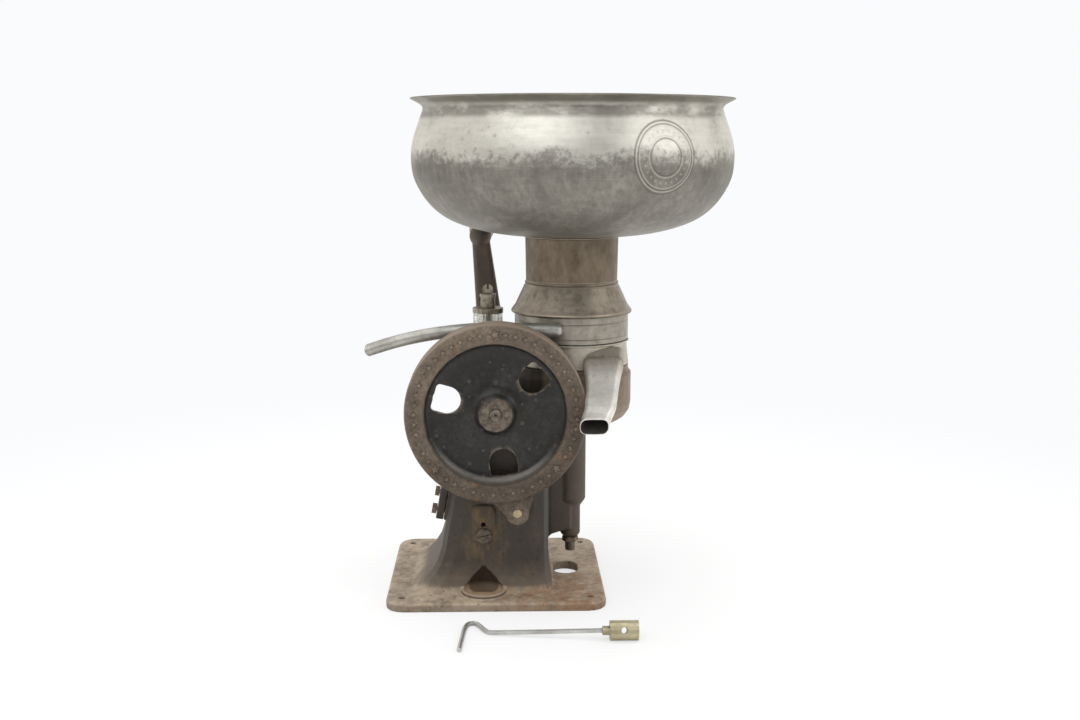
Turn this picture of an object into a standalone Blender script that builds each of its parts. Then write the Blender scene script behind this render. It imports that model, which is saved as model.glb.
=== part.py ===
"""A hand-cranked table cream separator, at its real size.

Everything is in metres, +Z up, +Y away from the front. The origin is the centre
of the base plate's underside. The crankshaft runs along Y, and the bowl's spindle
stands upright at SPINDLE_X.
"""

import math

import bmesh
import bpy
from mathutils import Vector

# Clearances that all pieces share
GAP = 0.0003
MESH_PLAY = 0.0001
OVERRUN = 0.003
MERGE = 0.00001

# Facets round a piece, by its size
LARGE_SIDES = 32
MIDDLE_SIDES = 24
SMALL_SIDES = 16
TINY_SIDES = 10
CORNER_STEPS = 2

# Main axes
CRANK_HEIGHT = 0.196
SPINDLE_X = 0.0785

# Base plate
PLATE_WIDTH = 0.2205
PLATE_DEPTH = 0.2150
PLATE_THICK = 0.009
PLATE_CORNER = 0.019
PLATE_ROUNDING = 0.002
BOLT_INSET_X = 0.01575
BOLT_INSET_Y = 0.0185
BOLT_HOLE_RADIUS = 0.0035
DRIP_HOLE_WIDTH = 0.0260
DRIP_HOLE_LENGTH = 0.0395
DRIP_HOLE_X = 0.0735
DRIP_HOLE_Y = 0.002

# Pedestal, which is the gear housing
SUMP_BELOW_WHEEL = 0.0094
SUMP_FLOOR_THICK = 0.008
PEDESTAL_WALL = 0.005
PEDESTAL_LEFT = 0.0545
PEDESTAL_RIGHT = 0.0533
PEDESTAL_FRONT = 0.0687
PEDESTAL_BACK = 0.062
PEDESTAL_CORNER = 0.016
PEDESTAL_TOP_CORNER = 0.008
FLANK_LEAN = math.radians(10.2)
FLARE_BELOW_FLOOR = 0.009
FLARE_LEFT = 0.034
FLARE_RIGHT = 0.007
FLARE_FRONT = 0.017
FLARE_BACK = 0.022
FLARE_STEPS = 5
SHOULDER_BELOW_CRANK = 0.028
CROWN_ABOVE_CRANK = 0.017
CROWN_DROP = 0.009
CROWN_ROUNDING = 0.008
CROWN_RIGHT = 0.020
RIB_THICK = 0.018
FOOT_WALL = 0.007
FOOT_FRONT_WALL = 0.019
FOOT_POCKET_CORNER = 0.003

# Pad for the drain plug and the oil level hole, on the front
PAD_X = -0.0128
PAD_WIDTH = 0.023
PAD_HEIGHT = 0.038
PAD_RAISE = 0.0016
PAD_ABOVE_FLOOR = 0.002
DRAIN_ABOVE_FLOOR = 0.009
DRAIN_BORE = 0.0056
LEVEL_ABOVE_FLOOR = 0.020
LEVEL_HOLE_RADIUS = 0.0024
DRAIN_HEAD_RADIUS = 0.0076
DRAIN_HEAD_THICK = 0.0022
DRAIN_LENGTH = 0.010
SLOT_WIDTH = 0.0014
SLOT_DEPTH = 0.0010
DRAIN_SLOT_TURN = math.radians(15)

# Drip cup at the front foot
CUP_X = -0.0128
CUP_AHEAD = 0.0078
CUP_RADIUS = 0.0226
CUP_WALL = 0.003
CUP_RAISE = 0.0045
CUP_DEPTH = 0.007
CUP_FLOOR_SHARE = 0.72
NICHE_HEIGHT = 0.021
NICHE_MIDDLE_SHARE = 0.62
NICHE_APEX_SHARE = 0.06

# Spur gears between crankshaft and worm wheel shaft
SPUR_MODULE = 0.0016
CRANK_TEETH = 96
PINION_TEETH = 12
PINION_BEARING = math.radians(-73)
PRESSURE_ANGLE = math.radians(20)
SPUR_BACKLASH = 0.00036
GEAR_ADDENDUM_SHARE = 0.80
PINION_ADDENDUM_SHARE = 0.95
DEDENDUM_SHARE = 1.15
GEAR_WIDTH = 0.009
GEAR_HUB_RADIUS = 0.016
GEAR_HUB_LENGTH = 0.0095
GEAR_RIM = 0.009
SPOKE_WIDTH = 0.017
SPOKE_TURN = math.radians(-16)
SPOKES = 3
OPENING_STEPS = 7

# Worm and worm wheel
WORM_MODULE = 0.0022
WORM_WHEEL_TEETH = 40
WORM_STARTS = 2
WORM_BACKLASH = 0.0004
WORM_ADDENDUM_SHARE = 0.85
WORM_DEDENDUM_SHARE = 1.15
WORM_LENGTH = 0.030
WORM_TURN_STEPS = 12
WORM_WHEEL_WIDTH = 0.011
WORM_WHEEL_HUB_RADIUS = 0.013
WORM_WHEEL_HUB_LENGTH = 0.024

# Column under the pan, round the spindle
COLUMN_RADIUS = 0.0160
COLUMN_TIP_RADIUS = 0.0105
COLUMN_TAPER_HEIGHT = 0.008
COLUMN_CHAMFER = 0.0035
# Levels in the column, as shares of the way from the base plate up to the worm's end
COLUMN_TIP_SHARE = 0.4
FOOTSTEP_FLOOR_SHARE = 0.6384
CHAMBER_FLOOR_SHARE = 0.8725
WORM_CHAMBER_RADIUS = 0.0124
WORM_CHAMBER_HEIGHT = 0.064
WEB_ABOVE_TIP = 0.0053
WEB_HALF_WIDTH = 0.0135
WHEEL_SLOT_CLEARANCE = 0.0025

# Pan
PAN_RADIUS = 0.0625
PAN_RIM_RADIUS = 0.0595
PAN_WALL = 0.004
PAN_BELOW_CRANK = 0.028
PAN_HEIGHT = 0.0646
PAN_RIM_HEIGHT = 0.006
PAN_CORNER = 0.021
PAN_CORNER_STEPS = 4
PAN_HUB_RADIUS = 0.0175
PAN_HUB_HEIGHT = 0.005

# Crankshaft, its barrel and bushes
SHAFT_RADIUS = 0.008
SHAFT_END_RADIUS = 0.0060
SHAFT_CENTRE_RADIUS = 0.0020
SHAFT_CENTRE_DEPTH = 0.003
BARREL_RADIUS = 0.0160
BARREL_FRONT = 0.0715
BARREL_BACK = 0.083
BUSH_WALL = 0.003
BUSH_LENGTH = 0.024

# Worm wheel shaft
LAYSHAFT_RADIUS = 0.005
LAYSHAFT_BUSH_LENGTH = 0.012
LAYSHAFT_BOSS_WALL = 0.004
CAP_FLANGE_THICK = 0.003
CAP_FLANGE_RADIUS = 0.013
PIN_RADIUS = 0.0016

# Gear cover
COVER_RADIUS = 0.0896
COVER_DEPTH = 0.0268
COVER_EDGE = 0.0045
COVER_WALL = 0.0045
COVER_WEB = 0.004
DISH_RADIUS = 0.0705
DISH_DEPTH = 0.0095
DISH_FILLET = 0.0045
COVER_HUB_RADIUS = 0.0173
COVER_HUB_SINK = 0.001
COVER_FLARE = 0.010
COVER_BACK_BOSS_RADIUS = 0.012
WINDOW_INNER = 0.036
WINDOW_OUTER = 0.063
WINDOW_WIDTH = 0.0275
WINDOW_CORNER = 0.003
WINDOW_TURNS = tuple(math.radians(a) for a in (163, 44, -78.5))
LUG_REACH = 0.1025
LUG_TURN = math.radians(-78)
LUG_RADIUS = 0.0115
LUG_SINK = 0.004
LUG_LEFT_TURN = math.radians(-95)
LUG_RIGHT_TURN = math.radians(-64)
LUG_SCREW_RADIUS = 0.0026
LUG_SCREW_HEAD = 0.0045
LUG_SCREW_HEAD_THICK = 0.0022
LUG_SCREW_IN_HOUSING = 0.008

# Side cover on the left flank, with its four bolts
SIDE_SEAT_THICK = 0.003
SIDE_COVER_THICK = 0.0077
SIDE_COVER_WIDTH = 0.088
SIDE_COVER_HEIGHT = 0.080
SIDE_COVER_ABOVE_FLOOR = 0.0155
SIDE_COVER_CORNER = 0.010
SIDE_COVER_Y = -0.003
SIDE_HATCH_WIDTH = 0.054
SIDE_HATCH_HEIGHT = 0.046
SIDE_BOLT_RADIUS = 0.0025
SIDE_BOLT_HEAD = 0.0055
SIDE_BOLT_HEAD_THICK = 0.005
SIDE_BOLT_INSET = 0.0105
SIDE_BOLT_IN_WALL = 0.0065

# Adjusting screw under the spindle
SCREW_RADIUS = 0.0053
SCREW_LENGTH = 0.0365
SCREW_SLOT = 0.0016
LOCK_NUT_RADIUS = 0.0085
LOCK_NUT_THICK = 0.0050
BALL_RADIUS = 0.003
FOOTSTEP_RADIUS = 0.0078

# Spindle and neck bearing
SPINDLE_RADIUS = 0.005
SPINDLE_FOOT_RADIUS = 0.004
SPINDLE_CONE_BASE = 0.0068
SPINDLE_CONE_TOP = 0.0046
SPINDLE_CONE_HEIGHT = 0.018
NECK_BUSH_RADIUS = 0.0105
NECK_BUSH_FLANGE = 0.014
NECK_BUSH_FLANGE_THICK = 0.002
NECK_BUSH_LENGTH = 0.026

# Bowl
BOWL_RADIUS = 0.041
BOWL_WALL = 0.0036
BOWL_FLOAT = 0.005
BOWL_BODY_HEIGHT = 0.032
BOWL_CHAMFER = 0.006
BOWL_FLOOR_THICK = 0.008
FEED_TUBE_RADIUS = 0.0072
FEED_TUBE_WALL = 0.0022
FEED_HOLE_RADIUS = 0.0015
DISTRIBUTOR_WALL = 0.0018
DISTRIBUTOR_COLLAR = 0.028
DISC_SLOPE = math.radians(40)
DISC_RADIUS = 0.033
DISC_WALL = 0.0008
DISCS = 6
SEAL_THICK = 0.002
HOOD_WALL = 0.003
HOOD_SKIRT = 0.004
HOOD_NECK_RADIUS = 0.0122
HOOD_NECK_TOP = 0.084
BOWL_NUT_RADIUS = 0.0122
BOWL_NUT_THICK = 0.0065
BOWL_NUT_FLATS = 8
OUTLET_RADIUS = 0.0014

# Tinware: skim cover, cream cover and regulating cover
TIN = 0.0012
SKIM_HEIGHT = 0.0254
SKIM_TOP_RADIUS = 0.0570
SKIM_FLANGE = 0.0025
BEAD_HEIGHT = 0.0020
CREAM_HEIGHT = 0.0268
CREAM_OVER_SKIM = 0.0016
FUNNEL_RISE = 0.018
FUNNEL_MOUTH = 0.0165
FUNNEL_LIP = 0.002
CONE_OVERHANG = 0.0036
CONE_HEIGHT = 0.030
NECK_RADIUS = 0.0478
NECK_FOOT_RADIUS = 0.0470
NECK_HEIGHT = 0.049
NECK_RIM_RADIUS = 0.0495
FLOAT_FLOOR_RISE = 0.0015
NOZZLE_RADIUS = 0.0036
NOZZLE_LENGTH = 0.009
NOZZLE_CONE = 0.004

# Float
FLOAT_RADIUS = 0.038
FLOAT_HEIGHT = 0.014
FLOAT_EDGE = 0.004
FLOAT_STEPS = 4

# Skim spout: places along it, as (x, y, z) from the foot of the skim cover on the spindle's axis
SKIM_PATH = (
    (0.0300, -0.0240, 0.0150),
    (0.0300, -0.0440, 0.0140),
    (0.0290, -0.0600, 0.0045),
    (0.0278, -0.0760, -0.0110),
    (0.0265, -0.0960, -0.0280),
    (0.0175, -0.1140, -0.0445),
)
SKIM_SPOUT_WIDTH = 0.0285
SKIM_SPOUT_THICK = 0.0155
SKIM_WIDTH_SHARES = (1.52, 1.46, 1.30, 1.14, 1.02, 1.0)
SKIM_THICK_SHARES = (1.12, 1.16, 1.14, 1.08, 1.02, 1.0)
SKIM_HEADINGS = tuple(math.radians(a) for a in (8, 18, 38, 44, 43, 42))
SPOUT_POINTS = 16
SPOUT_SQUARENESS = 2.8

# Cream spout: places along its centre line, as (x, z) from the spindle's axis and the cream cover's foot
CREAM_PATH = (
    (-0.0120, 0.0160),
    (-0.0460, 0.0172),
    (-0.0860, 0.0178),
    (-0.1160, 0.0160),
    (-0.1460, 0.0120),
    (-0.1760, 0.0055),
    (-0.2070, -0.0040),
)
CREAM_SPOUT_RADIUS = 0.0066
CREAM_SPOUT_Y = -0.0613
CREAM_PATH_STEPS = 3
CREAM_TIP_SHARE = 0.94

# Tank, as shares of its height and of its belly's radius
TANK_RADIUS = 0.1634
TANK_HEIGHT = 0.1372
TANK_TIN = 0.0014
TANK_PROFILE_SHARES = (
    (1.000, 1.000),
    (0.965, 0.981),
    (0.928, 0.953),
    (0.926, 0.915),
    (0.962, 0.795),
    (0.990, 0.700),
    (1.000, 0.580),
    (0.990, 0.450),
    (0.950, 0.335),
    (0.880, 0.220),
    (0.785, 0.130),
    (0.640, 0.062),
    (0.480, 0.020),
    (0.310, 0.000),
)
OUTLET_TUBE_RADIUS = 0.0118
OUTLET_TUBE_LENGTH = 0.016
OUTLET_FLANGE = 0.018
OUTLET_FLANGE_THICK = 0.0025

# Tap key, lying in front: plug, collar and hooked rod
KEY_Y = -0.183
KEY_X = 0.1330
KEY_PLUG_RADIUS = 0.00935
KEY_PLUG_LENGTH = 0.0267
KEY_PLUG_BORE = 0.0032
KEY_PLUG_BORE_TURN = math.radians(70)
KEY_COLLAR_RADIUS = 0.0044
KEY_COLLAR_LENGTH = 0.007
KEY_ROD_RADIUS = 0.00235
KEY_ROD_LENGTH = 0.1325
KEY_HOOK_DEPTH = 0.0393
# Along the rod's length, across by the hook's depth, and down from the plug's axis to the ground
KEY_PATH_SHARES = (
    (0.000, 0.00, 0.00),
    (0.100, 0.03, 0.09),
    (0.410, 0.20, 0.56),
    (0.760, 0.35, 0.94),
    (0.805, 0.39, 0.97),
    (0.835, 0.56, 1.00),
    (0.862, 0.77, 1.00),
    (0.887, 0.94, 1.00),
    (0.912, 1.00, 1.00),
    (0.940, 0.97, 1.00),
    (0.960, 0.86, 1.00),
    (0.971, 0.67, 1.00),
    (0.979, 0.40, 1.00),
    (1.000, -0.69, 1.00),
)

# Crank
CRANK_RADIUS = 0.162
CRANK_TILT = math.radians(5.9)
CRANK_HUB_RADIUS = 0.018
CRANK_HUB_LENGTH = 0.020
ARM_ROOT_WIDTH = 0.0335
ARM_TIP_WIDTH = 0.0195
ARM_ROOT_THICK = 0.014
ARM_TIP_THICK = 0.011
ARM_CORNER = 0.004
ARM_BALL_RADIUS = 0.0123
GRIP_PIN_RADIUS = 0.0045
GRIP_LENGTH = 0.096
GRIP_RADIUS = 0.0145
GRIP_BORE = 0.0048
GRIP_PROFILE_SHARES = (
    (0.58, 1.00),
    (0.74, 0.975),
    (0.78, 0.90),
    (0.80, 0.72),
    (0.90, 0.45),
    (0.99, 0.20),
    (1.00, 0.08),
    (0.86, 0.015),
    (0.70, 0.00),
)
GRIP_HEAD_RADIUS = 0.0070
GRIP_HEAD_THICK = 0.0028

# Sight feed oiler
OILER_CLEARANCE = 0.0084
OILER_Y = -0.012
OILER_BOSS_RADIUS = 0.0095
OILER_BOSS_HEIGHT = 0.009
OILER_HEX_RADIUS = 0.0085
OILER_HEX_HEIGHT = 0.007
OILER_STEM_RADIUS = 0.0045
OILER_STEM_HEIGHT = 0.018
OILER_CUP_RADIUS = 0.0157
OILER_CUP_HEIGHT = 0.006
OILER_GLASS_HEIGHT = 0.0355
OILER_GLASS_WALL = 0.0018
OILER_FEED_RADIUS = 0.0036
OILER_CAP_THICK = 0.0050
OILER_NECK_RADIUS = 0.0074
OILER_NECK_HEIGHT = 0.0142
OILER_NECK_LIP = 0.0083
OILER_NECK_LIP_THICK = 0.003
NEEDLE_KEY_RADIUS = 0.0054
NEEDLE_KEY_THICK = 0.0024
NEEDLE_KEY_SLOT_WIDTH = 0.0022
NEEDLE_KEY_FOOT_TURN = math.radians(50)
NEEDLE_KEY_SLOT_TURN = math.radians(12)

# Sizes that follow from those above
FRONT = -PEDESTAL_FRONT
BOLT_SPACING_X = PLATE_WIDTH - 2 * BOLT_INSET_X
BOLT_SPACING_Y = PLATE_DEPTH - 2 * BOLT_INSET_Y
CUP_Y = FRONT - CUP_AHEAD
NICHE_APEX_Y = FRONT - GAP
CENTRE_DISTANCE = SPUR_MODULE * (CRANK_TEETH + PINION_TEETH) / 2 + MESH_PLAY
LAYSHAFT_X = CENTRE_DISTANCE * math.cos(PINION_BEARING)
LAYSHAFT_Z = CRANK_HEIGHT + CENTRE_DISTANCE * math.sin(PINION_BEARING)
WORM_WHEEL_PITCH = WORM_MODULE * WORM_WHEEL_TEETH / 2
WORM_PITCH = SPINDLE_X - LAYSHAFT_X - WORM_WHEEL_PITCH - MESH_PLAY
WORM_LEAD = math.pi * WORM_MODULE * WORM_STARTS
WORM_OUTER = WORM_PITCH + WORM_ADDENDUM_SHARE * WORM_MODULE
WORM_ROOT = WORM_PITCH - WORM_DEDENDUM_SHARE * WORM_MODULE
WORM_WHEEL_OUTER = WORM_WHEEL_PITCH + WORM_ADDENDUM_SHARE * WORM_MODULE
SUMP_FLOOR = LAYSHAFT_Z - WORM_WHEEL_OUTER - SUMP_BELOW_WHEEL
FLARE_HEIGHT = SUMP_FLOOR - FLARE_BELOW_FLOOR - PLATE_THICK + PLATE_ROUNDING
PAD_FOOT = SUMP_FLOOR + PAD_ABOVE_FLOOR
SIDE_COVER_FOOT = SUMP_FLOOR + SIDE_COVER_ABOVE_FLOOR
PEDESTAL_SHOULDER = CRANK_HEIGHT - SHOULDER_BELOW_CRANK
PEDESTAL_CROWN = CRANK_HEIGHT + CROWN_ABOVE_CRANK
COLUMN_ROOM = LAYSHAFT_Z - WORM_LENGTH / 2 - PLATE_THICK
COLUMN_TIP_HEIGHT = PLATE_THICK + COLUMN_ROOM * COLUMN_TIP_SHARE
FOOTSTEP_FLOOR = PLATE_THICK + COLUMN_ROOM * FOOTSTEP_FLOOR_SHARE
CHAMBER_FLOOR = PLATE_THICK + COLUMN_ROOM * CHAMBER_FLOOR_SHARE
COLUMN_SHOULDER_HEIGHT = CHAMBER_FLOOR - GAP
SCREW_TIP_HEIGHT = FOOTSTEP_FLOOR - SCREW_LENGTH
WEB_FOOT = COLUMN_TIP_HEIGHT + WEB_ABOVE_TIP
CHAMBER_ROOF = CHAMBER_FLOOR + WORM_CHAMBER_HEIGHT
PAN_BOTTOM = CRANK_HEIGHT - PAN_BELOW_CRANK
PAN_TOP = PAN_BOTTOM + PAN_HEIGHT
PAN_FLOOR = PAN_BOTTOM + PAN_WALL + PAN_HUB_HEIGHT
COVER_BACK = FRONT - GAP
COVER_FRONT = COVER_BACK - COVER_DEPTH
COVER_WEB_BACK = COVER_FRONT + DISH_DEPTH + COVER_WEB
GEAR_FRONT = COVER_WEB_BACK + GAP
GEAR_BACK = GEAR_FRONT + GEAR_WIDTH
SHAFT_BUSH_RADIUS = SHAFT_RADIUS + BUSH_WALL
LAYSHAFT_BUSH_RADIUS = LAYSHAFT_RADIUS + BUSH_WALL
SKIM_FOOT_RADIUS = PAN_RIM_RADIUS
CREAM_RADIUS = SKIM_TOP_RADIUS + CREAM_OVER_SKIM
CONE_FOOT_RADIUS = CREAM_RADIUS + CONE_OVERHANG
OILER_X = SPINDLE_X - CONE_FOOT_RADIUS - OILER_CUP_RADIUS - OILER_CLEARANCE
SKIM_FOOT = PAN_TOP + GAP
SKIM_TOP = SKIM_FOOT + SKIM_HEIGHT
CREAM_FOOT = SKIM_TOP + GAP
CREAM_TOP = CREAM_FOOT + CREAM_HEIGHT
CONE_FOOT = CREAM_TOP + GAP
CONE_TOP = CONE_FOOT + CONE_HEIGHT
NECK_TOP = CONE_TOP + NECK_HEIGHT
TANK_FOOT = NECK_TOP + GAP
SPINDLE_FOOT = FOOTSTEP_FLOOR + 2 * BALL_RADIUS + 2 * GAP
NECK_BUSH_TOP = PAN_FLOOR + NECK_BUSH_FLANGE_THICK + GAP
CONE_BASE = NECK_BUSH_TOP + BOWL_FLOAT
BOWL_FOOT = CONE_BASE + GAP
BOWL_RIM = BOWL_FOOT + BOWL_BODY_HEIGHT
CRANK_PLANE = BARREL_BACK + GAP + CRANK_HUB_LENGTH / 2
PAD_FRONT = FRONT - PAD_RAISE
DRAIN_HEIGHT = SUMP_FLOOR + DRAIN_ABOVE_FLOOR
LEVEL_HEIGHT = SUMP_FLOOR + LEVEL_ABOVE_FLOOR
ALONG_Y = (math.pi / 2, 0, 0)


# Scene, collections and materials


def clear_scene():
    for obj in list(bpy.data.objects):
        bpy.data.objects.remove(obj, do_unlink=True)


def new_collection(name, hidden=False):
    collection = bpy.data.collections.new(name)
    bpy.context.scene.collection.children.link(collection)
    collection.hide_render = hidden
    return collection


def finish(name, colour, roughness, metallic):
    """A plain Principled material."""
    material = bpy.data.materials.new(name)
    material.use_nodes = True
    shader = material.node_tree.nodes["Principled BSDF"]
    shader.inputs["Base Color"].default_value = (*colour, 1)
    shader.inputs["Roughness"].default_value = roughness
    shader.inputs["Metallic"].default_value = metallic
    material.diffuse_color = (*colour, 1)
    return material


CAST_IRON = ((0.085, 0.065, 0.052), 0.72, 0.35)
RUSTY_IRON = ((0.150, 0.090, 0.060), 0.80, 0.25)
TINPLATE = ((0.330, 0.315, 0.285), 0.42, 0.75)
DULL_TIN = ((0.230, 0.200, 0.165), 0.50, 0.65)
STEEL = ((0.300, 0.295, 0.290), 0.35, 0.90)
BRONZE = ((0.380, 0.230, 0.090), 0.38, 0.90)
BRASS = ((0.420, 0.330, 0.130), 0.40, 0.85)
NICKEL = ((0.520, 0.500, 0.450), 0.28, 0.90)
GLASS = ((0.820, 0.830, 0.800), 0.08, 0.00)
WOOD = ((0.130, 0.055, 0.028), 0.50, 0.00)
RUBBER = ((0.030, 0.028, 0.026), 0.80, 0.00)


def keep(obj, look):
    """Put a finished piece in the separator's collection with a material of its own."""
    parts.objects.link(obj)
    obj.data.materials.clear()
    obj.data.materials.append(finish(obj.name, *look))
    return obj


def group(name, shapes):
    """A hidden collection of the shapes that are fused into a piece, or cut from it."""
    collection = bpy.data.collections.new(name)
    cutters.children.link(collection)
    for shape in shapes:
        collection.objects.link(shape)
        shape.hide_render = True
        shape.display_type = "WIRE"
    return collection


# Ways of making shapes


def turned(name, profile, sides, place=(0, 0, 0), tilt=(0, 0, 0), ring=False):
    """A body turned from (radius, height) points that run down its outer side."""
    mesh = bpy.data.meshes.new(name)
    edges = [(i, i + 1) for i in range(len(profile) - 1)]
    if ring:
        edges.append((len(profile) - 1, 0))
    mesh.from_pydata([(r, 0, z) for r, z in profile], edges, [])
    obj = bpy.data.objects.new(name, mesh)
    obj.location = place
    obj.rotation_euler = tilt
    screw = obj.modifiers.new("turn", "SCREW")
    screw.steps = sides
    screw.render_steps = sides
    screw.use_merge_vertices = True
    screw.merge_threshold = MERGE
    return obj


def rod(name, radius, top, bottom, sides, place=(0, 0, 0), tilt=(0, 0, 0)):
    profile = [(0, top), (radius, top), (radius, bottom), (0, bottom)]
    return turned(name, profile, sides, place, tilt)


def sleeve(name, outer, inner, top, bottom, sides, place=(0, 0, 0), tilt=(0, 0, 0)):
    profile = [(inner, top), (outer, top), (outer, bottom), (inner, bottom)]
    return turned(name, profile, sides, place, tilt, ring=True)


def shell(name, profile, sides, wall, place=(0, 0, 0)):
    """Sheet metal turned from one line of points, its thickness going inwards."""
    obj = turned(name, profile, sides, place)
    solidify = obj.modifiers.new("wall", "SOLIDIFY")
    solidify.thickness = wall
    solidify.offset = -1
    solidify.use_even_offset = True
    return obj


def flat(name, outlines, thickness, place=(0, 0, 0), tilt=(0, 0, 0)):
    """A plate from closed outlines in its own XY plane, inner ones being holes."""
    curve = bpy.data.curves.new(name, "CURVE")
    curve.dimensions = "2D"
    curve.fill_mode = "BOTH"
    curve.extrude = thickness / 2
    for outline in outlines:
        spline = curve.splines.new("POLY")
        spline.points.add(len(outline) - 1)
        for point, (x, y) in zip(spline.points, outline):
            point.co = (x, y, 0, 1)
        spline.use_cyclic_u = True
    return as_mesh(name, curve, place, tilt)


def as_mesh(name, curve, place, tilt):
    """A curve's own shape as a mesh object, its caps welded on."""
    guide = bpy.data.objects.new(name + " guide", curve)
    bpy.context.scene.collection.objects.link(guide)
    graph = bpy.context.evaluated_depsgraph_get()
    mesh = bpy.data.meshes.new_from_object(guide.evaluated_get(graph))
    bpy.data.objects.remove(guide)
    bm = bmesh.new()
    bm.from_mesh(mesh)
    bmesh.ops.remove_doubles(bm, verts=bm.verts, dist=MERGE)
    bmesh.ops.recalc_face_normals(bm, faces=bm.faces)
    bm.to_mesh(mesh)
    bm.free()
    obj = bpy.data.objects.new(name, mesh)
    obj.location = place
    obj.rotation_euler = tilt
    return obj


def bent_tube(name, points, radius, shares=None, resolution=2, place=(0, 0, 0)):
    """A round bar along a smooth line of points, thinner or thicker by shares."""
    curve = bpy.data.curves.new(name, "CURVE")
    curve.dimensions = "3D"
    curve.bevel_depth = radius
    curve.bevel_resolution = resolution
    curve.use_fill_caps = True
    spline = curve.splines.new("POLY")
    spline.points.add(len(points) - 1)
    for i, (point, at) in enumerate(zip(spline.points, points)):
        point.co = (*at, 1)
        point.radius = shares[i] if shares else 1
    return as_mesh(name, curve, place, (0, 0, 0))


def lofted(name, rings, place=(0, 0, 0), tilt=(0, 0, 0)):
    """A closed body through rings that have the same number of points."""
    bm = bmesh.new()
    loops = [[bm.verts.new(p) for p in ring] for ring in rings]
    for low, high in zip(loops, loops[1:]):
        for i in range(len(low)):
            bm.faces.new((low[i - 1], low[i], high[i], high[i - 1]))
    bm.faces.new(loops[0])
    bm.faces.new(loops[-1])
    bmesh.ops.triangulate(bm, faces=bm.faces)
    bmesh.ops.recalc_face_normals(bm, faces=bm.faces)
    mesh = bpy.data.meshes.new(name)
    bm.to_mesh(mesh)
    bm.free()
    obj = bpy.data.objects.new(name, mesh)
    obj.location = place
    obj.rotation_euler = tilt
    return obj


def ball(name, radius, place, segments=TINY_SIDES):
    bm = bmesh.new()
    bmesh.ops.create_uvsphere(bm, u_segments=segments, v_segments=segments // 2 + 1, radius=radius)
    mesh = bpy.data.meshes.new(name)
    bm.to_mesh(mesh)
    bm.free()
    obj = bpy.data.objects.new(name, mesh)
    obj.location = place
    return obj


def combine(obj, operation, shapes, label):
    modifier = obj.modifiers.new(label, "BOOLEAN")
    modifier.operation = operation
    modifier.solver = "EXACT"
    modifier.operand_type = "COLLECTION"
    modifier.collection = group(f"{obj.name} {label}", shapes)


def cut(obj, *shapes):
    combine(obj, "DIFFERENCE", shapes, "cut away")


def fuse(obj, *shapes):
    combine(obj, "UNION", shapes, "added")


def smooth(obj, angle=math.radians(35)):
    """Smooth shading except at edges sharper than the angle."""
    obj.data.shade_smooth()
    obj.data.set_sharp_from_angle(angle=angle)


# Outlines


def arc(radius, start, end, steps, centre=(0, 0)):
    """Points on an arc, both ends included."""
    return [
        (
            centre[0] + radius * math.cos(start + (end - start) * i / steps),
            centre[1] + radius * math.sin(start + (end - start) * i / steps),
        )
        for i in range(steps + 1)
    ]


def circle(radius, sides, centre=(0, 0)):
    return arc(radius, 0, 2 * math.pi * (sides - 1) / sides, sides - 1, centre)


def rounded_box(left, right, low, high, corner, steps=CORNER_STEPS):
    """A rectangle with round corners, anticlockwise from its lower left."""
    quarter = math.pi / 2
    centres = (
        (left + corner, low + corner),
        (right - corner, low + corner),
        (right - corner, high - corner),
        (left + corner, high - corner),
    )
    points = []
    for i, centre in enumerate(centres):
        start = math.pi + i * quarter
        points += arc(corner, start, start + quarter, steps, centre)
    return points


def turned_by(points, angle, centre=(0, 0)):
    c, s = math.cos(angle), math.sin(angle)
    return [(centre[0] + x * c - y * s, centre[1] + x * s + y * c) for x, y in points]


def smooth_line(points, steps):
    """A Catmull-Rom line through the points, with this many steps between two of them."""
    points = [Vector(p) for p in points]
    ends = [2 * points[0] - points[1], *points, 2 * points[-1] - points[-2]]
    line = []
    for a, b, c, d in zip(ends, ends[1:], ends[2:], ends[3:]):
        for i in range(steps):
            t = i / steps
            line.append(
                (2 * b + (c - a) * t + (2 * a - 5 * b + 4 * c - d) * t**2 + (3 * b - a - 3 * c + d) * t**3) / 2
            )
    line.append(points[-1])
    return line


# Gear teeth


def involute(angle):
    return math.tan(angle) - angle


def spur_outline(teeth, module, addendum, dedendum, backlash, flank_steps, phase):
    """The outline of a spur gear whose first tooth is centred on the angle phase."""
    pitch = module * teeth / 2
    base = pitch * math.cos(PRESSURE_ANGLE)
    tip = pitch + addendum * module
    root = pitch - dedendum * module
    half_at_pitch = math.pi / (2 * teeth) - backlash / (4 * pitch)

    def half_angle(radius):
        pressure = math.acos(min(1, base / radius))
        return half_at_pitch + involute(PRESSURE_ANGLE) - involute(pressure)

    start = max(root, base)
    radii = [start + (tip - start) * i / flank_steps for i in range(flank_steps + 1)]
    flank = [(r, half_angle(r)) for r in radii]
    if start > root:
        flank.insert(0, (root, half_angle(start)))
    tooth = [(r, -a) for r, a in flank] + [(r, a) for r, a in reversed(flank)]
    step = 2 * math.pi / teeth
    return [
        (r * math.cos(phase + i * step + a), r * math.sin(phase + i * step + a))
        for i in range(teeth)
        for r, a in tooth
    ]


def annular_opening(inner, outer, spoke_width, start, end):
    """The outline of an opening between two spokes, whose sides are parallel to the spokes."""

    def side(radius):
        return math.asin(spoke_width / 2 / radius)

    outside = arc(outer, start + side(outer), end - side(outer), OPENING_STEPS)
    inside = arc(inner, end - side(inner), start + side(inner), OPENING_STEPS // 2)
    return outside + inside


# Frame casting


def pedestal_left(height):
    """The left flank's x at this height, where it leans in as it rises."""
    return -PEDESTAL_LEFT + (height - SUMP_FLOOR) * math.tan(FLANK_LEAN)


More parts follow.
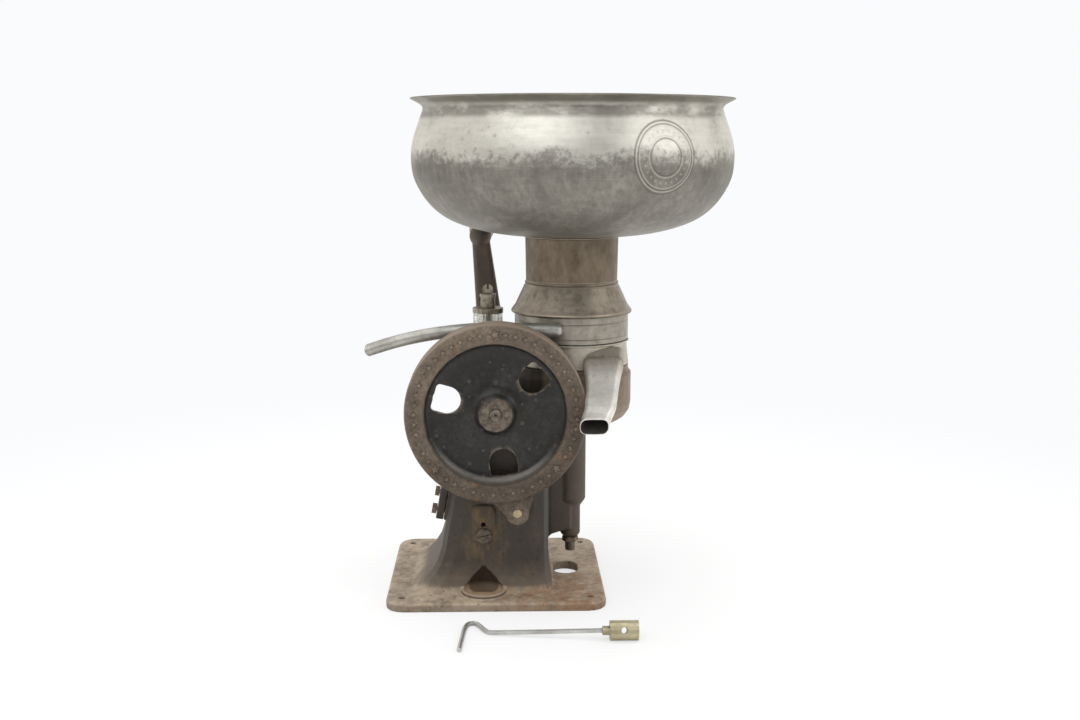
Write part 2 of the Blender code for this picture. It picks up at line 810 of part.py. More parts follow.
def pedestal_rings(inset, heights):
    """Level sections through the pedestal, drawn in by inset on every side."""
    return [
        [
            (x, y, z)
            for x, y in rounded_box(
                pedestal_left(z) + inset,
                PEDESTAL_RIGHT - inset,
                FRONT + inset,
                PEDESTAL_BACK - inset,
                PEDESTAL_CORNER - inset,
            )
        ]
        for z in heights
    ]


def make_pedestal():
    """The housing's outside, from the flare on the plate up to the crown round the crankshaft."""
    rings = []
    for i in range(FLARE_STEPS):
        sweep = math.pi / 2 * i / FLARE_STEPS
        out = 1 - math.sin(sweep)
        z = PLATE_THICK - PLATE_ROUNDING + FLARE_HEIGHT * (1 - math.cos(sweep))
        outline = rounded_box(
            pedestal_left(z) - FLARE_LEFT * out,
            PEDESTAL_RIGHT + FLARE_RIGHT * out,
            FRONT - FLARE_FRONT * out,
            PEDESTAL_BACK + FLARE_BACK * out,
            PEDESTAL_CORNER + FLARE_RIGHT * out,
        )
        rings.append([(x, y, z) for x, y in outline])
    straight = PLATE_THICK - PLATE_ROUNDING + FLARE_HEIGHT
    rings += pedestal_rings(0, (straight, PEDESTAL_SHOULDER))
    for rise, draw in ((CROWN_ABOVE_CRANK - CROWN_DROP, 0), (CROWN_ABOVE_CRANK, CROWN_ROUNDING)):
        z = CRANK_HEIGHT + rise
        outline = rounded_box(
            pedestal_left(z) + draw,
            CROWN_RIGHT - draw,
            FRONT + draw,
            PEDESTAL_BACK - draw,
            PEDESTAL_TOP_CORNER,
        )
        rings.append([(x, y, z) for x, y in outline])
    return lofted("pedestal", rings)


def make_plate():
    """The base plate, its upper edge rounded off."""
    rings = []
    steps = ((0, 0), (PLATE_THICK - PLATE_ROUNDING, 0), (PLATE_THICK, PLATE_ROUNDING))
    for z, inset in steps:
        outline = rounded_box(
            -PLATE_WIDTH / 2 + inset,
            PLATE_WIDTH / 2 - inset,
            -PLATE_DEPTH / 2 + inset,
            PLATE_DEPTH / 2 - inset,
            PLATE_CORNER - inset,
            steps=2 * CORNER_STEPS,
        )
        rings.append([(x, y, z) for x, y in outline])
    return lofted("frame_casting", rings)


def pan_outside():
    """The pan's outer line, down from its rim to where it meets the column."""
    line = [
        (PAN_RIM_RADIUS, PAN_TOP),
        (PAN_RIM_RADIUS, PAN_TOP - PAN_RIM_HEIGHT),
        (PAN_RADIUS, PAN_TOP - PAN_RIM_HEIGHT - (PAN_RADIUS - PAN_RIM_RADIUS)),
    ]
    centre = (PAN_RADIUS - PAN_CORNER, PAN_BOTTOM + PAN_CORNER + PAN_WALL)
    line += arc(PAN_CORNER, 0, -math.pi / 2, PAN_CORNER_STEPS, centre)
    line.append((COLUMN_RADIUS + PAN_WALL, PAN_BOTTOM))
    return line


def make_column():
    """The pan and the column under it, solid, for the bores to open."""
    line = [(0, PAN_TOP), *pan_outside()]
    line += [
        (COLUMN_RADIUS, PAN_BOTTOM - PAN_WALL),
        (COLUMN_RADIUS, COLUMN_SHOULDER_HEIGHT),
        (COLUMN_TIP_RADIUS, COLUMN_SHOULDER_HEIGHT - COLUMN_TAPER_HEIGHT),
        (COLUMN_TIP_RADIUS, COLUMN_TIP_HEIGHT + COLUMN_CHAMFER),
        (COLUMN_TIP_RADIUS - COLUMN_CHAMFER, COLUMN_TIP_HEIGHT),
        (0, COLUMN_TIP_HEIGHT),
    ]
    return turned("column", line, LARGE_SIDES, (SPINDLE_X, 0, 0))


def make_pan_hollow():
    """The room for the bowl, with a hub left standing round the spindle."""
    inner = PAN_RADIUS - PAN_WALL
    corner = PAN_CORNER - PAN_WALL
    centre = (inner - corner, PAN_BOTTOM + PAN_CORNER + PAN_WALL)
    line = [
        (0, PAN_TOP + OVERRUN),
        (PAN_RIM_RADIUS - PAN_WALL, PAN_TOP + OVERRUN),
        (PAN_RIM_RADIUS - PAN_WALL, PAN_TOP - PAN_RIM_HEIGHT),
        (inner, PAN_TOP - PAN_RIM_HEIGHT - (PAN_RADIUS - PAN_RIM_RADIUS)),
        *arc(corner, 0, -math.pi / 2, PAN_CORNER_STEPS, centre),
        (PAN_HUB_RADIUS + PAN_WALL, PAN_BOTTOM + 2 * PAN_WALL),
        (PAN_HUB_RADIUS, PAN_FLOOR),
        (0, PAN_FLOOR),
    ]
    return turned("pan hollow", line, LARGE_SIDES, (SPINDLE_X, 0, 0))


def make_spindle_bore():
    """Bores down the column for the neck bush, the worm, the footstep and the screw."""
    neck = NECK_BUSH_RADIUS + GAP
    footstep = FOOTSTEP_RADIUS + GAP
    screw = SCREW_RADIUS + GAP
    line = [
        (0, PAN_FLOOR + OVERRUN),
        (neck, PAN_FLOOR + OVERRUN),
        (neck, CHAMBER_ROOF),
        (WORM_CHAMBER_RADIUS, CHAMBER_ROOF),
        (WORM_CHAMBER_RADIUS, CHAMBER_FLOOR),
        (footstep, CHAMBER_FLOOR),
        (footstep, FOOTSTEP_FLOOR),
        (screw, FOOTSTEP_FLOOR),
        (screw, COLUMN_TIP_HEIGHT - OVERRUN),
        (0, COLUMN_TIP_HEIGHT - OVERRUN),
    ]
    return turned("spindle bore", line, SMALL_SIDES, (SPINDLE_X, 0, 0))


def make_web():
    """The web from the pedestal to the column, over the arch at its foot."""
    arch = (PEDESTAL_RIGHT - COLUMN_RADIUS + SPINDLE_X) / 2
    outline = [
        (0, PEDESTAL_SHOULDER),
        (0, WEB_FOOT - PEDESTAL_WALL),
        (PEDESTAL_RIGHT, WEB_FOOT - PEDESTAL_WALL),
        (arch, WEB_FOOT),
        (SPINDLE_X - COLUMN_TIP_RADIUS / 2, WEB_FOOT + PEDESTAL_WALL),
        (SPINDLE_X, WEB_FOOT + PEDESTAL_WALL),
        (SPINDLE_X, PEDESTAL_SHOULDER),
    ]
    return flat("web", [outline], 2 * WEB_HALF_WIDTH, (0, 0, 0), ALONG_Y)


def make_wheel_slot():
    """Room for the worm wheel where it runs from the housing into the column."""
    radius = WORM_WHEEL_OUTER + WHEEL_SLOT_CLEARANCE
    half = WORM_WHEEL_WIDTH / 2 + WHEEL_SLOT_CLEARANCE
    return rod("wheel slot", radius, half, -half, MIDDLE_SIDES, (LAYSHAFT_X, 0, LAYSHAFT_Z), ALONG_Y)


def make_cavity():
    """The inside of the housing above the sump floor."""
    roof = PEDESTAL_SHOULDER - PEDESTAL_WALL
    return lofted("cavity", pedestal_rings(PEDESTAL_WALL, (SUMP_FLOOR, roof)))


def make_foot_pockets():
    """Four hollows under the sump floor, with a cross of ribs left between them."""
    top = SUMP_FLOOR - SUMP_FLOOR_THICK
    left = pedestal_left(top) + FOOT_WALL
    right = PEDESTAL_RIGHT - FOOT_WALL
    front = FRONT + FOOT_FRONT_WALL
    back = PEDESTAL_BACK - FOOT_WALL
    half = RIB_THICK / 2
    pockets = []
    for x0, x1 in ((left, -half), (half, right)):
        for y0, y1 in ((front, -half), (half, back)):
            outline = rounded_box(x0, x1, y0, y1, FOOT_POCKET_CORNER, steps=1)
            rings = [[(x, y, z) for x, y in outline] for z in (-OVERRUN, top)]
            pockets.append(lofted("foot pocket", rings))
    return pockets


def make_niche():
    """The drip cup's hollow, which runs up into a pointed niche in the pedestal's foot."""
    radius = CUP_RADIUS - CUP_WALL
    rim = PLATE_THICK + CUP_RAISE
    levels = (
        (rim - CUP_DEPTH, CUP_FLOOR_SHARE, CUP_Y),
        (rim - CUP_WALL / 2, 1, CUP_Y),
        (rim + GAP, 1, CUP_Y),
        (rim + NICHE_HEIGHT / 2, NICHE_MIDDLE_SHARE, (CUP_Y + NICHE_APEX_Y) / 2),
        (rim + NICHE_HEIGHT, NICHE_APEX_SHARE, NICHE_APEX_Y),
    )
    return lofted(
        "niche",
        [[(x, y, z) for x, y in circle(radius * share, SMALL_SIDES, (CUP_X, y0))] for z, share, y0 in levels],
    )


def side_cover_place(out):
    """The side cover's centre, this far out from the flank, and its tilt."""
    middle = SIDE_COVER_FOOT + SIDE_COVER_HEIGHT / 2 * math.cos(FLANK_LEAN)
    x = pedestal_left(middle) - out * math.cos(FLANK_LEAN)
    z = middle + out * math.sin(FLANK_LEAN)
    return (x, SIDE_COVER_Y, z)


def side_bolt_places():
    """The bolts' places on the side cover, as (across, up) from its centre."""
    across = SIDE_COVER_WIDTH / 2 - SIDE_BOLT_INSET
    up = SIDE_COVER_HEIGHT / 2 - SIDE_BOLT_INSET
    return [(x, y) for y in (-up, up) for x in (-across, across)]


def flank_frame(out, across=0, up=0):
    """A place on the left flank: out from it, across it and up it."""
    x, y, z = side_cover_place(out)
    return (x + up * math.sin(FLANK_LEAN), y + across, z + up * math.cos(FLANK_LEAN))


# Turns a piece made along Z so that it points straight out of the left flank
OUT_OF_FLANK = (0, -math.pi / 2 + FLANK_LEAN, 0)


def side_cover_outline():
    return rounded_box(
        -SIDE_COVER_HEIGHT / 2,
        SIDE_COVER_HEIGHT / 2,
        -SIDE_COVER_WIDTH / 2,
        SIDE_COVER_WIDTH / 2,
        SIDE_COVER_CORNER,
    )


def make_side_seat():
    """The raised seat on the left flank that the side cover is bolted to."""
    return flat("side seat", [side_cover_outline()], 2 * SIDE_SEAT_THICK, side_cover_place(0), OUT_OF_FLANK)


def make_hatch():
    """The opening in the left flank that the side cover closes."""
    depth = 2 * (PEDESTAL_WALL + SIDE_SEAT_THICK + OVERRUN)
    outline = rounded_box(
        -SIDE_HATCH_HEIGHT / 2,
        SIDE_HATCH_HEIGHT / 2,
        -SIDE_HATCH_WIDTH / 2,
        SIDE_HATCH_WIDTH / 2,
        SIDE_COVER_CORNER,
    )
    return flat("hatch", [outline], depth, side_cover_place(0), OUT_OF_FLANK)


def layshaft_bush_seats():
    """The bosses and bores for the worm wheel shaft's bushes, in the front and back walls."""
    boss = LAYSHAFT_BUSH_RADIUS + LAYSHAFT_BOSS_WALL
    place = (LAYSHAFT_X, 0, LAYSHAFT_Z)
    depth = LAYSHAFT_BUSH_LENGTH
    front = rod("front boss", boss, -FRONT - GAP, -FRONT - depth, SMALL_SIDES, place, ALONG_Y)
    back = rod("back boss", boss, -PEDESTAL_BACK + depth, -PEDESTAL_BACK + GAP, SMALL_SIDES, place, ALONG_Y)
    reach = PEDESTAL_FRONT + OVERRUN
    bore = rod("layshaft bore", LAYSHAFT_BUSH_RADIUS + GAP, reach, -reach, SMALL_SIDES, place, ALONG_Y)
    return front, back, bore


def frame_holes():
    """The small holes through the plate, the pad and the walls."""
    into = PAD_RAISE + PEDESTAL_WALL + OVERRUN
    bolt = SIDE_BOLT_IN_WALL + GAP
    holes = [
        rod("drain bore", DRAIN_BORE + GAP, OVERRUN, -into, TINY_SIDES, (PAD_X, PAD_FRONT, DRAIN_HEIGHT), ALONG_Y),
        rod("level hole", LEVEL_HOLE_RADIUS, OVERRUN, -into, TINY_SIDES, (PAD_X, PAD_FRONT, LEVEL_HEIGHT), ALONG_Y),
        rod("lug hole", LUG_SCREW_RADIUS + GAP, OVERRUN, -LUG_SCREW_IN_HOUSING, TINY_SIDES, lug_place(FRONT), ALONG_Y),
        rod(
            "oil way",
            OILER_FEED_RADIUS,
            PEDESTAL_CROWN + OILER_BOSS_HEIGHT + OVERRUN,
            CRANK_HEIGHT,
            TINY_SIDES,
            (OILER_X, OILER_Y, 0),
        ),
    ]
    for across, up in side_bolt_places():
        place = flank_frame(SIDE_SEAT_THICK, across, up)
        holes.append(rod("side bolt hole", SIDE_BOLT_RADIUS + GAP, OVERRUN, -bolt, TINY_SIDES, place, OUT_OF_FLANK))
    for x in (-BOLT_SPACING_X / 2, BOLT_SPACING_X / 2):
        for y in (-BOLT_SPACING_Y / 2, BOLT_SPACING_Y / 2):
            holes.append(rod("bolt hole", BOLT_HOLE_RADIUS, PLATE_THICK + OVERRUN, -OVERRUN, TINY_SIDES, (x, y, 0)))
    half = DRIP_HOLE_WIDTH / 2
    drip = rounded_box(
        DRIP_HOLE_X - half,
        DRIP_HOLE_X + half,
        DRIP_HOLE_Y - DRIP_HOLE_LENGTH / 2,
        DRIP_HOLE_Y + DRIP_HOLE_LENGTH / 2,
        half - GAP,
        steps=2 * CORNER_STEPS,
    )
    top = PLATE_THICK + FLARE_HEIGHT / 2
    holes.append(lofted("drip hole", [[(x, y, z) for x, y in drip] for z in (-OVERRUN, top)]))
    return holes


def make_frame_casting():
    """Base plate, gear housing, column and pan in one casting, with its bores and hollows."""
    frame = make_plate()
    crank = (0, 0, CRANK_HEIGHT)
    barrel = rod("barrel", BARREL_RADIUS, BARREL_FRONT, -BARREL_BACK, SMALL_SIDES, crank, ALONG_Y)
    boss_top = PEDESTAL_CROWN + OILER_BOSS_HEIGHT
    boss_foot = PEDESTAL_CROWN - CROWN_DROP
    oiler_boss = rod("oiler boss", OILER_BOSS_RADIUS, boss_top, boss_foot, TINY_SIDES, (OILER_X, OILER_Y, 0))
    cup = rod("cup", CUP_RADIUS, PLATE_THICK + CUP_RAISE, PLATE_ROUNDING, SMALL_SIDES, (CUP_X, CUP_Y, 0))
    pad_left = PAD_X - PAD_WIDTH / 2
    pad_outline = rounded_box(pad_left, pad_left + PAD_WIDTH, PAD_FOOT, PAD_FOOT + PAD_HEIGHT, PAD_WIDTH / 4)
    pad = flat("pad", [pad_outline], 2 * PAD_RAISE, (0, FRONT, 0), ALONG_Y)
    fuse(frame, make_pedestal(), make_column(), make_web(), make_side_seat(), barrel, oiler_boss, cup, pad)
    front_boss, back_boss, layshaft_bore = layshaft_bush_seats()
    cut(frame, make_cavity())
    fuse(frame, front_boss, back_boss)
    bore_radius = SHAFT_BUSH_RADIUS + GAP
    bore_ends = (BARREL_FRONT + OVERRUN, -BARREL_BACK - OVERRUN)
    shaft_bore = rod("shaft bore", bore_radius, *bore_ends, SMALL_SIDES, crank, ALONG_Y)
    cut(
        frame,
        make_pan_hollow(),
        make_spindle_bore(),
        make_wheel_slot(),
        shaft_bore,
        layshaft_bore,
        make_niche(),
        make_hatch(),
        *make_foot_pockets(),
        *frame_holes(),
    )
    keep(frame, CAST_IRON)


# Fittings on the frame


def make_side_cover():
    holes = [circle(SIDE_BOLT_RADIUS + GAP, TINY_SIDES, (up, -across)) for across, up in side_bolt_places()]
    place = side_cover_place(SIDE_SEAT_THICK + GAP + SIDE_COVER_THICK / 2)
    plate = flat("side_cover", [side_cover_outline(), *holes], SIDE_COVER_THICK, place, OUT_OF_FLANK)
    keep(plate, CAST_IRON)
    for i, (across, up) in enumerate(side_bolt_places(), 1):
        top = 2 * GAP + SIDE_COVER_THICK
        bolt = turned(
            f"side_cover_bolt_{i}",
            [
                (0, top + SIDE_BOLT_HEAD_THICK),
                (SIDE_BOLT_HEAD, top + SIDE_BOLT_HEAD_THICK),
                (SIDE_BOLT_HEAD, top),
                (SIDE_BOLT_RADIUS, top),
                (SIDE_BOLT_RADIUS, -SIDE_BOLT_IN_WALL),
                (0, -SIDE_BOLT_IN_WALL),
            ],
            6,
            flank_frame(SIDE_SEAT_THICK, across, up),
            OUT_OF_FLANK,
        )
        keep(bolt, RUSTY_IRON)


def make_drain_plug():
    plug = turned(
        "drain_plug",
        [
            (0, GAP + DRAIN_HEAD_THICK),
            (DRAIN_HEAD_RADIUS, GAP + DRAIN_HEAD_THICK),
            (DRAIN_HEAD_RADIUS, GAP),
            (DRAIN_BORE, GAP),
            (DRAIN_BORE, GAP - DRAIN_LENGTH),
            (0, GAP - DRAIN_LENGTH),
        ],
        SMALL_SIDES,
        (PAD_X, PAD_FRONT, DRAIN_HEIGHT),
        ALONG_Y,
    )
    half = DRAIN_HEAD_RADIUS + OVERRUN
    slot_outline = turned_by(
        [(-half, -SLOT_WIDTH / 2), (half, -SLOT_WIDTH / 2), (half, SLOT_WIDTH / 2), (-half, SLOT_WIDTH / 2)],
        DRAIN_SLOT_TURN,
    )
    place = (PAD_X, PAD_FRONT - GAP - DRAIN_HEAD_THICK, DRAIN_HEIGHT)
    cut(plug, flat("drain slot", [slot_outline], 2 * SLOT_DEPTH, place, ALONG_Y))
    keep(plug, CAST_IRON)


def lug_place(y):
    """The lug screw's place at this depth."""
    return (LUG_REACH * math.cos(LUG_TURN), y, CRANK_HEIGHT + LUG_REACH * math.sin(LUG_TURN))


def cover_profile():
    """The gear cover's section, from its hub over the front to its back edge and home inside."""
    inner_edge = COVER_RADIUS - COVER_WALL
    hub_back = DISH_DEPTH + COVER_WEB
    bore = SHAFT_END_RADIUS + GAP
    fillet = [
        (DISH_RADIUS - DISH_FILLET, DISH_DEPTH),
        (DISH_RADIUS - DISH_FILLET / 4, DISH_DEPTH - DISH_FILLET / 3),
        (DISH_RADIUS + DISH_FILLET / 4, DISH_FILLET / 3),
        (DISH_RADIUS + DISH_FILLET / 2, 0),
    ]
    edge = [(COVER_RADIUS - COVER_EDGE + r, COVER_EDGE - f) for r, f in arc(COVER_EDGE, math.pi / 2, 0, 3)]
    line = [
        (bore, COVER_HUB_SINK),
        (COVER_HUB_RADIUS - COVER_HUB_SINK, COVER_HUB_SINK),
        (COVER_HUB_RADIUS, 2 * COVER_HUB_SINK),
        (COVER_HUB_RADIUS + COVER_FLARE / 5, DISH_DEPTH / 2),
        (COVER_HUB_RADIUS + COVER_FLARE, DISH_DEPTH),
        *fillet,
        *edge,
        (COVER_RADIUS, COVER_DEPTH),
        (inner_edge, COVER_DEPTH),
        (inner_edge, COVER_WALL),
        (DISH_RADIUS + COVER_WALL, COVER_WALL),
        (DISH_RADIUS, hub_back - COVER_WEB / 4),
        (DISH_RADIUS - DISH_FILLET, hub_back),
        (bore, hub_back),
    ]
    return [(r, -f) for r, f in line]


def window_outline(turn):
    """A D-shaped window: flat side out, round side towards the hub."""
    half = WINDOW_WIDTH / 2
    points = [
        (WINDOW_OUTER - WINDOW_CORNER, -half),
        (WINDOW_OUTER, -half + WINDOW_CORNER),
        (WINDOW_OUTER, half - WINDOW_CORNER),
        (WINDOW_OUTER - WINDOW_CORNER, half),
    ]
    points += arc(half, math.pi / 2, 3 * math.pi / 2, 6, (WINDOW_INNER + half, 0))
    return turned_by(points, turn)


def make_lug():
    """The lug that covers the pinion and takes the cover's screw."""
    ring = COVER_RADIUS - COVER_WALL
    end = (LUG_REACH * math.cos(LUG_TURN), LUG_REACH * math.sin(LUG_TURN))
    outline = [(ring * math.cos(LUG_LEFT_TURN), ring * math.sin(LUG_LEFT_TURN))]
    outline.append((COVER_RADIUS * math.cos(LUG_LEFT_TURN), COVER_RADIUS * math.sin(LUG_LEFT_TURN)))
    outline += arc(LUG_RADIUS, math.radians(-142), math.radians(-4), 7, end)
    outline.append((COVER_RADIUS * math.cos(LUG_RIGHT_TURN), COVER_RADIUS * math.sin(LUG_RIGHT_TURN)))
    outline.append((ring * math.cos(LUG_RIGHT_TURN), ring * math.sin(LUG_RIGHT_TURN)))
    thick = COVER_DEPTH - LUG_SINK
    return flat("lug", [outline], thick, (0, COVER_BACK - thick / 2, CRANK_HEIGHT), ALONG_Y)


def make_gear_cover():
    place = (0, COVER_FRONT, CRANK_HEIGHT)
    cover = turned("gear_cover", cover_profile(), LARGE_SIDES, place, ALONG_Y, ring=True)
    fuse(cover, make_lug())
    depth = COVER_DEPTH
    for turn in WINDOW_TURNS:
        cut(cover, flat("window", [window_outline(turn)], 2 * depth, place, ALONG_Y))
    pocket_radius = SPUR_MODULE * (PINION_TEETH + 4) / 2
    pocket = rod(
        "pinion pocket",
        pocket_radius,
        -COVER_WALL - LUG_SINK,
        -COVER_DEPTH - OVERRUN,
        SMALL_SIDES,
        (LAYSHAFT_X, COVER_FRONT, LAYSHAFT_Z),
        ALONG_Y,
    )
    hole = rod(
        "lug screw hole", LUG_SCREW_RADIUS + GAP, OVERRUN, -COVER_DEPTH - OVERRUN, TINY_SIDES, lug_place(COVER_FRONT), ALONG_Y
    )
    cut(cover, pocket, hole)
    keep(cover, RUSTY_IRON)
    screw_top = COVER_DEPTH - LUG_SINK + 2 * GAP
    screw = turned(
        "gear_cover_screw",
        [
            (0, screw_top + LUG_SCREW_HEAD_THICK),
            (LUG_SCREW_HEAD * CUP_FLOOR_SHARE, screw_top + LUG_SCREW_HEAD_THICK),
            (LUG_SCREW_HEAD, screw_top + LUG_SCREW_HEAD_THICK / 2),
            (LUG_SCREW_HEAD, screw_top),
            (LUG_SCREW_RADIUS, screw_top),
            (LUG_SCREW_RADIUS, GAP - LUG_SCREW_IN_HOUSING),
            (0, GAP - LUG_SCREW_IN_HOUSING),
        ],
        TINY_SIDES,
        lug_place(FRONT),
        ALONG_Y,
    )
    keep(screw, BRASS)


def make_oiler():
    base = PEDESTAL_CROWN + OILER_BOSS_HEIGHT + GAP
    stem = base + OILER_HEX_HEIGHT
    cup = stem + OILER_STEM_HEIGHT
    floor = cup + OILER_CUP_HEIGHT / 2
    glass = floor + GAP
    glass_top = glass + OILER_GLASS_HEIGHT
    glass_inside = OILER_CUP_RADIUS - OILER_GLASS_WALL - GAP
    feed_top = glass_top - GAP
    place = (OILER_X, OILER_Y, 0)
    holder = turned(
        "oiler_holder",
        [
            (0, feed_top),
            (OILER_FEED_RADIUS, feed_top),
            (OILER_FEED_RADIUS, floor),
            (glass_inside, floor),
            (OILER_CUP_RADIUS, floor),
            (OILER_CUP_RADIUS, cup),
            (OILER_STEM_RADIUS, stem + OILER_STEM_HEIGHT / 3),
            (OILER_STEM_RADIUS, stem),
            (OILER_HEX_RADIUS, stem),
            (OILER_HEX_RADIUS, base),
            (0, base),
        ],
        SMALL_SIDES,
        place,
    )
    keep(holder, NICKEL)
    tube = sleeve("oiler_glass", OILER_CUP_RADIUS - GAP, glass_inside, glass_top, glass, SMALL_SIDES, place)
    keep(tube, GLASS)
    cap_foot = glass_top + GAP
    cap_top = cap_foot + OILER_CAP_THICK
    neck_top = cap_top + OILER_NECK_HEIGHT
    cap = turned(
        "oiler_cap",
        [
            (0, neck_top),
            (OILER_NECK_LIP, neck_top),
            (OILER_NECK_LIP, neck_top - OILER_NECK_LIP_THICK),
            (OILER_NECK_RADIUS, neck_top - OILER_NECK_LIP_THICK),
            (OILER_NECK_RADIUS, cap_top),
            (OILER_CUP_RADIUS, cap_top),
            (OILER_CUP_RADIUS, cap_foot),
            (0, cap_foot),
        ],
        SMALL_SIDES,
        place,
    )
    keep(cap, NICKEL)
    # The key that turns the needle stands on the neck's lip
    centre = neck_top + NEEDLE_KEY_RADIUS * math.sin(NEEDLE_KEY_FOOT_TURN) + GAP
    quarter = math.pi / 2
    slot = NEEDLE_KEY_SLOT_WIDTH / 2
    outline = arc(NEEDLE_KEY_RADIUS, -NEEDLE_KEY_FOOT_TURN, quarter - NEEDLE_KEY_SLOT_TURN, TINY_SIDES // 2)
    outline += [(slot, 0), (-slot, 0)]
    outline += arc(NEEDLE_KEY_RADIUS, quarter + NEEDLE_KEY_SLOT_TURN, math.pi + NEEDLE_KEY_FOOT_TURN, TINY_SIDES // 2)
    key = flat("oiler_needle_key", [outline], NEEDLE_KEY_THICK, (OILER_X, OILER_Y, centre), ALONG_Y)
    keep(key, NICKEL)


# Drive


def make_crankshaft():
    front = -COVER_FRONT - COVER_HUB_SINK
    shoulder = -COVER_WEB_BACK - GAP
    back = CRANK_PLANE + CRANK_HUB_LENGTH / 2
    shaft = turned(
        "crankshaft",
        [
            (0, front - SHAFT_CENTRE_DEPTH),
            (SHAFT_CENTRE_RADIUS, front),
            (SHAFT_END_RADIUS, front),
            (SHAFT_END_RADIUS, shoulder),
            (SHAFT_RADIUS, shoulder),
            (SHAFT_RADIUS, -back),
            (0, -back),
        ],
        SMALL_SIDES,
        (0, 0, CRANK_HEIGHT),
        ALONG_Y,
    )
    keep(shaft, STEEL)
    crank = (0, 0, CRANK_HEIGHT)
    inner = SHAFT_RADIUS + GAP
    for name, top in (("crank_bush_front", BARREL_FRONT), ("crank_bush_back", -BARREL_BACK + BUSH_LENGTH)):
        bush = sleeve(name, SHAFT_BUSH_RADIUS, inner, top, top - BUSH_LENGTH, SMALL_SIDES, crank, ALONG_Y)
        keep(bush, BRONZE)


def make_crank_gear():
    """The large spur gear: rim, three spokes and hub, with a tooth on the line to the pinion."""
    outline = spur_outline(
        CRANK_TEETH, SPUR_MODULE, GEAR_ADDENDUM_SHARE, DEDENDUM_SHARE, SPUR_BACKLASH, 1, PINION_BEARING
    )
    rim = SPUR_MODULE * CRANK_TEETH / 2 - DEDENDUM_SHARE * SPUR_MODULE - GEAR_RIM
    step = 2 * math.pi / SPOKES
    openings = [
        annular_opening(
            GEAR_HUB_RADIUS, rim, SPOKE_WIDTH, SPOKE_TURN + i * step, SPOKE_TURN + (i + 1) * step
        )
        for i in range(SPOKES)
    ]
    bore = circle(SHAFT_RADIUS + GAP, SMALL_SIDES)
    place = (0, (GEAR_FRONT + GEAR_BACK) / 2, CRANK_HEIGHT)
    gear = flat("crank_gear", [outline, bore, *openings], GEAR_WIDTH, place, ALONG_Y)
    keep(gear, CAST_IRON)


def make_layshaft():
    place = (LAYSHAFT_X, 0, LAYSHAFT_Z)
    front = -GEAR_FRONT
    back = -PEDESTAL_BACK + CAP_FLANGE_THICK
    keep(rod("layshaft", LAYSHAFT_RADIUS, front, back, SMALL_SIDES, place, ALONG_Y), STEEL)
    inner = LAYSHAFT_RADIUS + GAP
    bush = sleeve(
        "layshaft_bush_front",
        LAYSHAFT_BUSH_RADIUS,
        inner,
        -FRONT,
        -FRONT - LAYSHAFT_BUSH_LENGTH,
        SMALL_SIDES,
        place,
        ALONG_Y,
    )
    keep(bush, BRONZE)
    outside = -PEDESTAL_BACK - GAP
    cap = turned(
        "layshaft_bush_back",
        [
            (0, back - GAP),
            (inner, back - GAP),
            (inner, -PEDESTAL_BACK + LAYSHAFT_BUSH_LENGTH),
            (LAYSHAFT_BUSH_RADIUS, -PEDESTAL_BACK + LAYSHAFT_BUSH_LENGTH),
            (LAYSHAFT_BUSH_RADIUS, outside),
            (CAP_FLANGE_RADIUS, outside),
            (CAP_FLANGE_RADIUS, outside - CAP_FLANGE_THICK),
            (0, outside - CAP_FLANGE_THICK),
        ],
        SMALL_SIDES,
        place,
        ALONG_Y,
    )
    keep(cap, BRONZE)
    tooth = 2 * math.pi / PINION_TEETH
    outline = spur_outline(
        PINION_TEETH,
        SPUR_MODULE,
        PINION_ADDENDUM_SHARE,
        DEDENDUM_SHARE,
        SPUR_BACKLASH,
        2,
        PINION_BEARING + math.pi + tooth / 2,
    )
    bore = circle(inner, TINY_SIDES)
    middle = (LAYSHAFT_X, (GEAR_FRONT + GEAR_BACK) / 2, LAYSHAFT_Z)
    keep(flat("pinion", [outline, bore], GEAR_WIDTH, middle, ALONG_Y), STEEL)


def make_worm_wheel():
    """The worm wheel, its teeth slanted to follow the worm's thread."""
    addendum, dedendum = WORM_ADDENDUM_SHARE, WORM_DEDENDUM_SHARE
    half_tooth = math.pi / WORM_WHEEL_TEETH
    lead = math.atan(WORM_LEAD / (2 * math.pi * WORM_PITCH))
    rings = []
    for side in (-1, 1):
        height = side * WORM_WHEEL_WIDTH / 2
        twist = math.tan(lead) * height / WORM_WHEEL_PITCH
        outline = spur_outline(
            WORM_WHEEL_TEETH, WORM_MODULE, addendum, dedendum, WORM_BACKLASH, 1, half_tooth + twist
        )
        rings.append([(x, y, height) for x, y in outline])
    place = (LAYSHAFT_X, 0, LAYSHAFT_Z)
    wheel = lofted("worm_wheel", rings, place, ALONG_Y)
    half = WORM_WHEEL_HUB_LENGTH / 2
    inner = LAYSHAFT_RADIUS + GAP
    fuse(wheel, rod("wheel hub", WORM_WHEEL_HUB_RADIUS, half, -half, SMALL_SIDES, place, ALONG_Y))
    reach = half + OVERRUN
    cut(wheel, rod("wheel bore", inner, reach, -reach, SMALL_SIDES, place, ALONG_Y))
    wheel.modifiers.new("flat faces", "TRIANGULATE")
    keep(wheel, BRONZE)


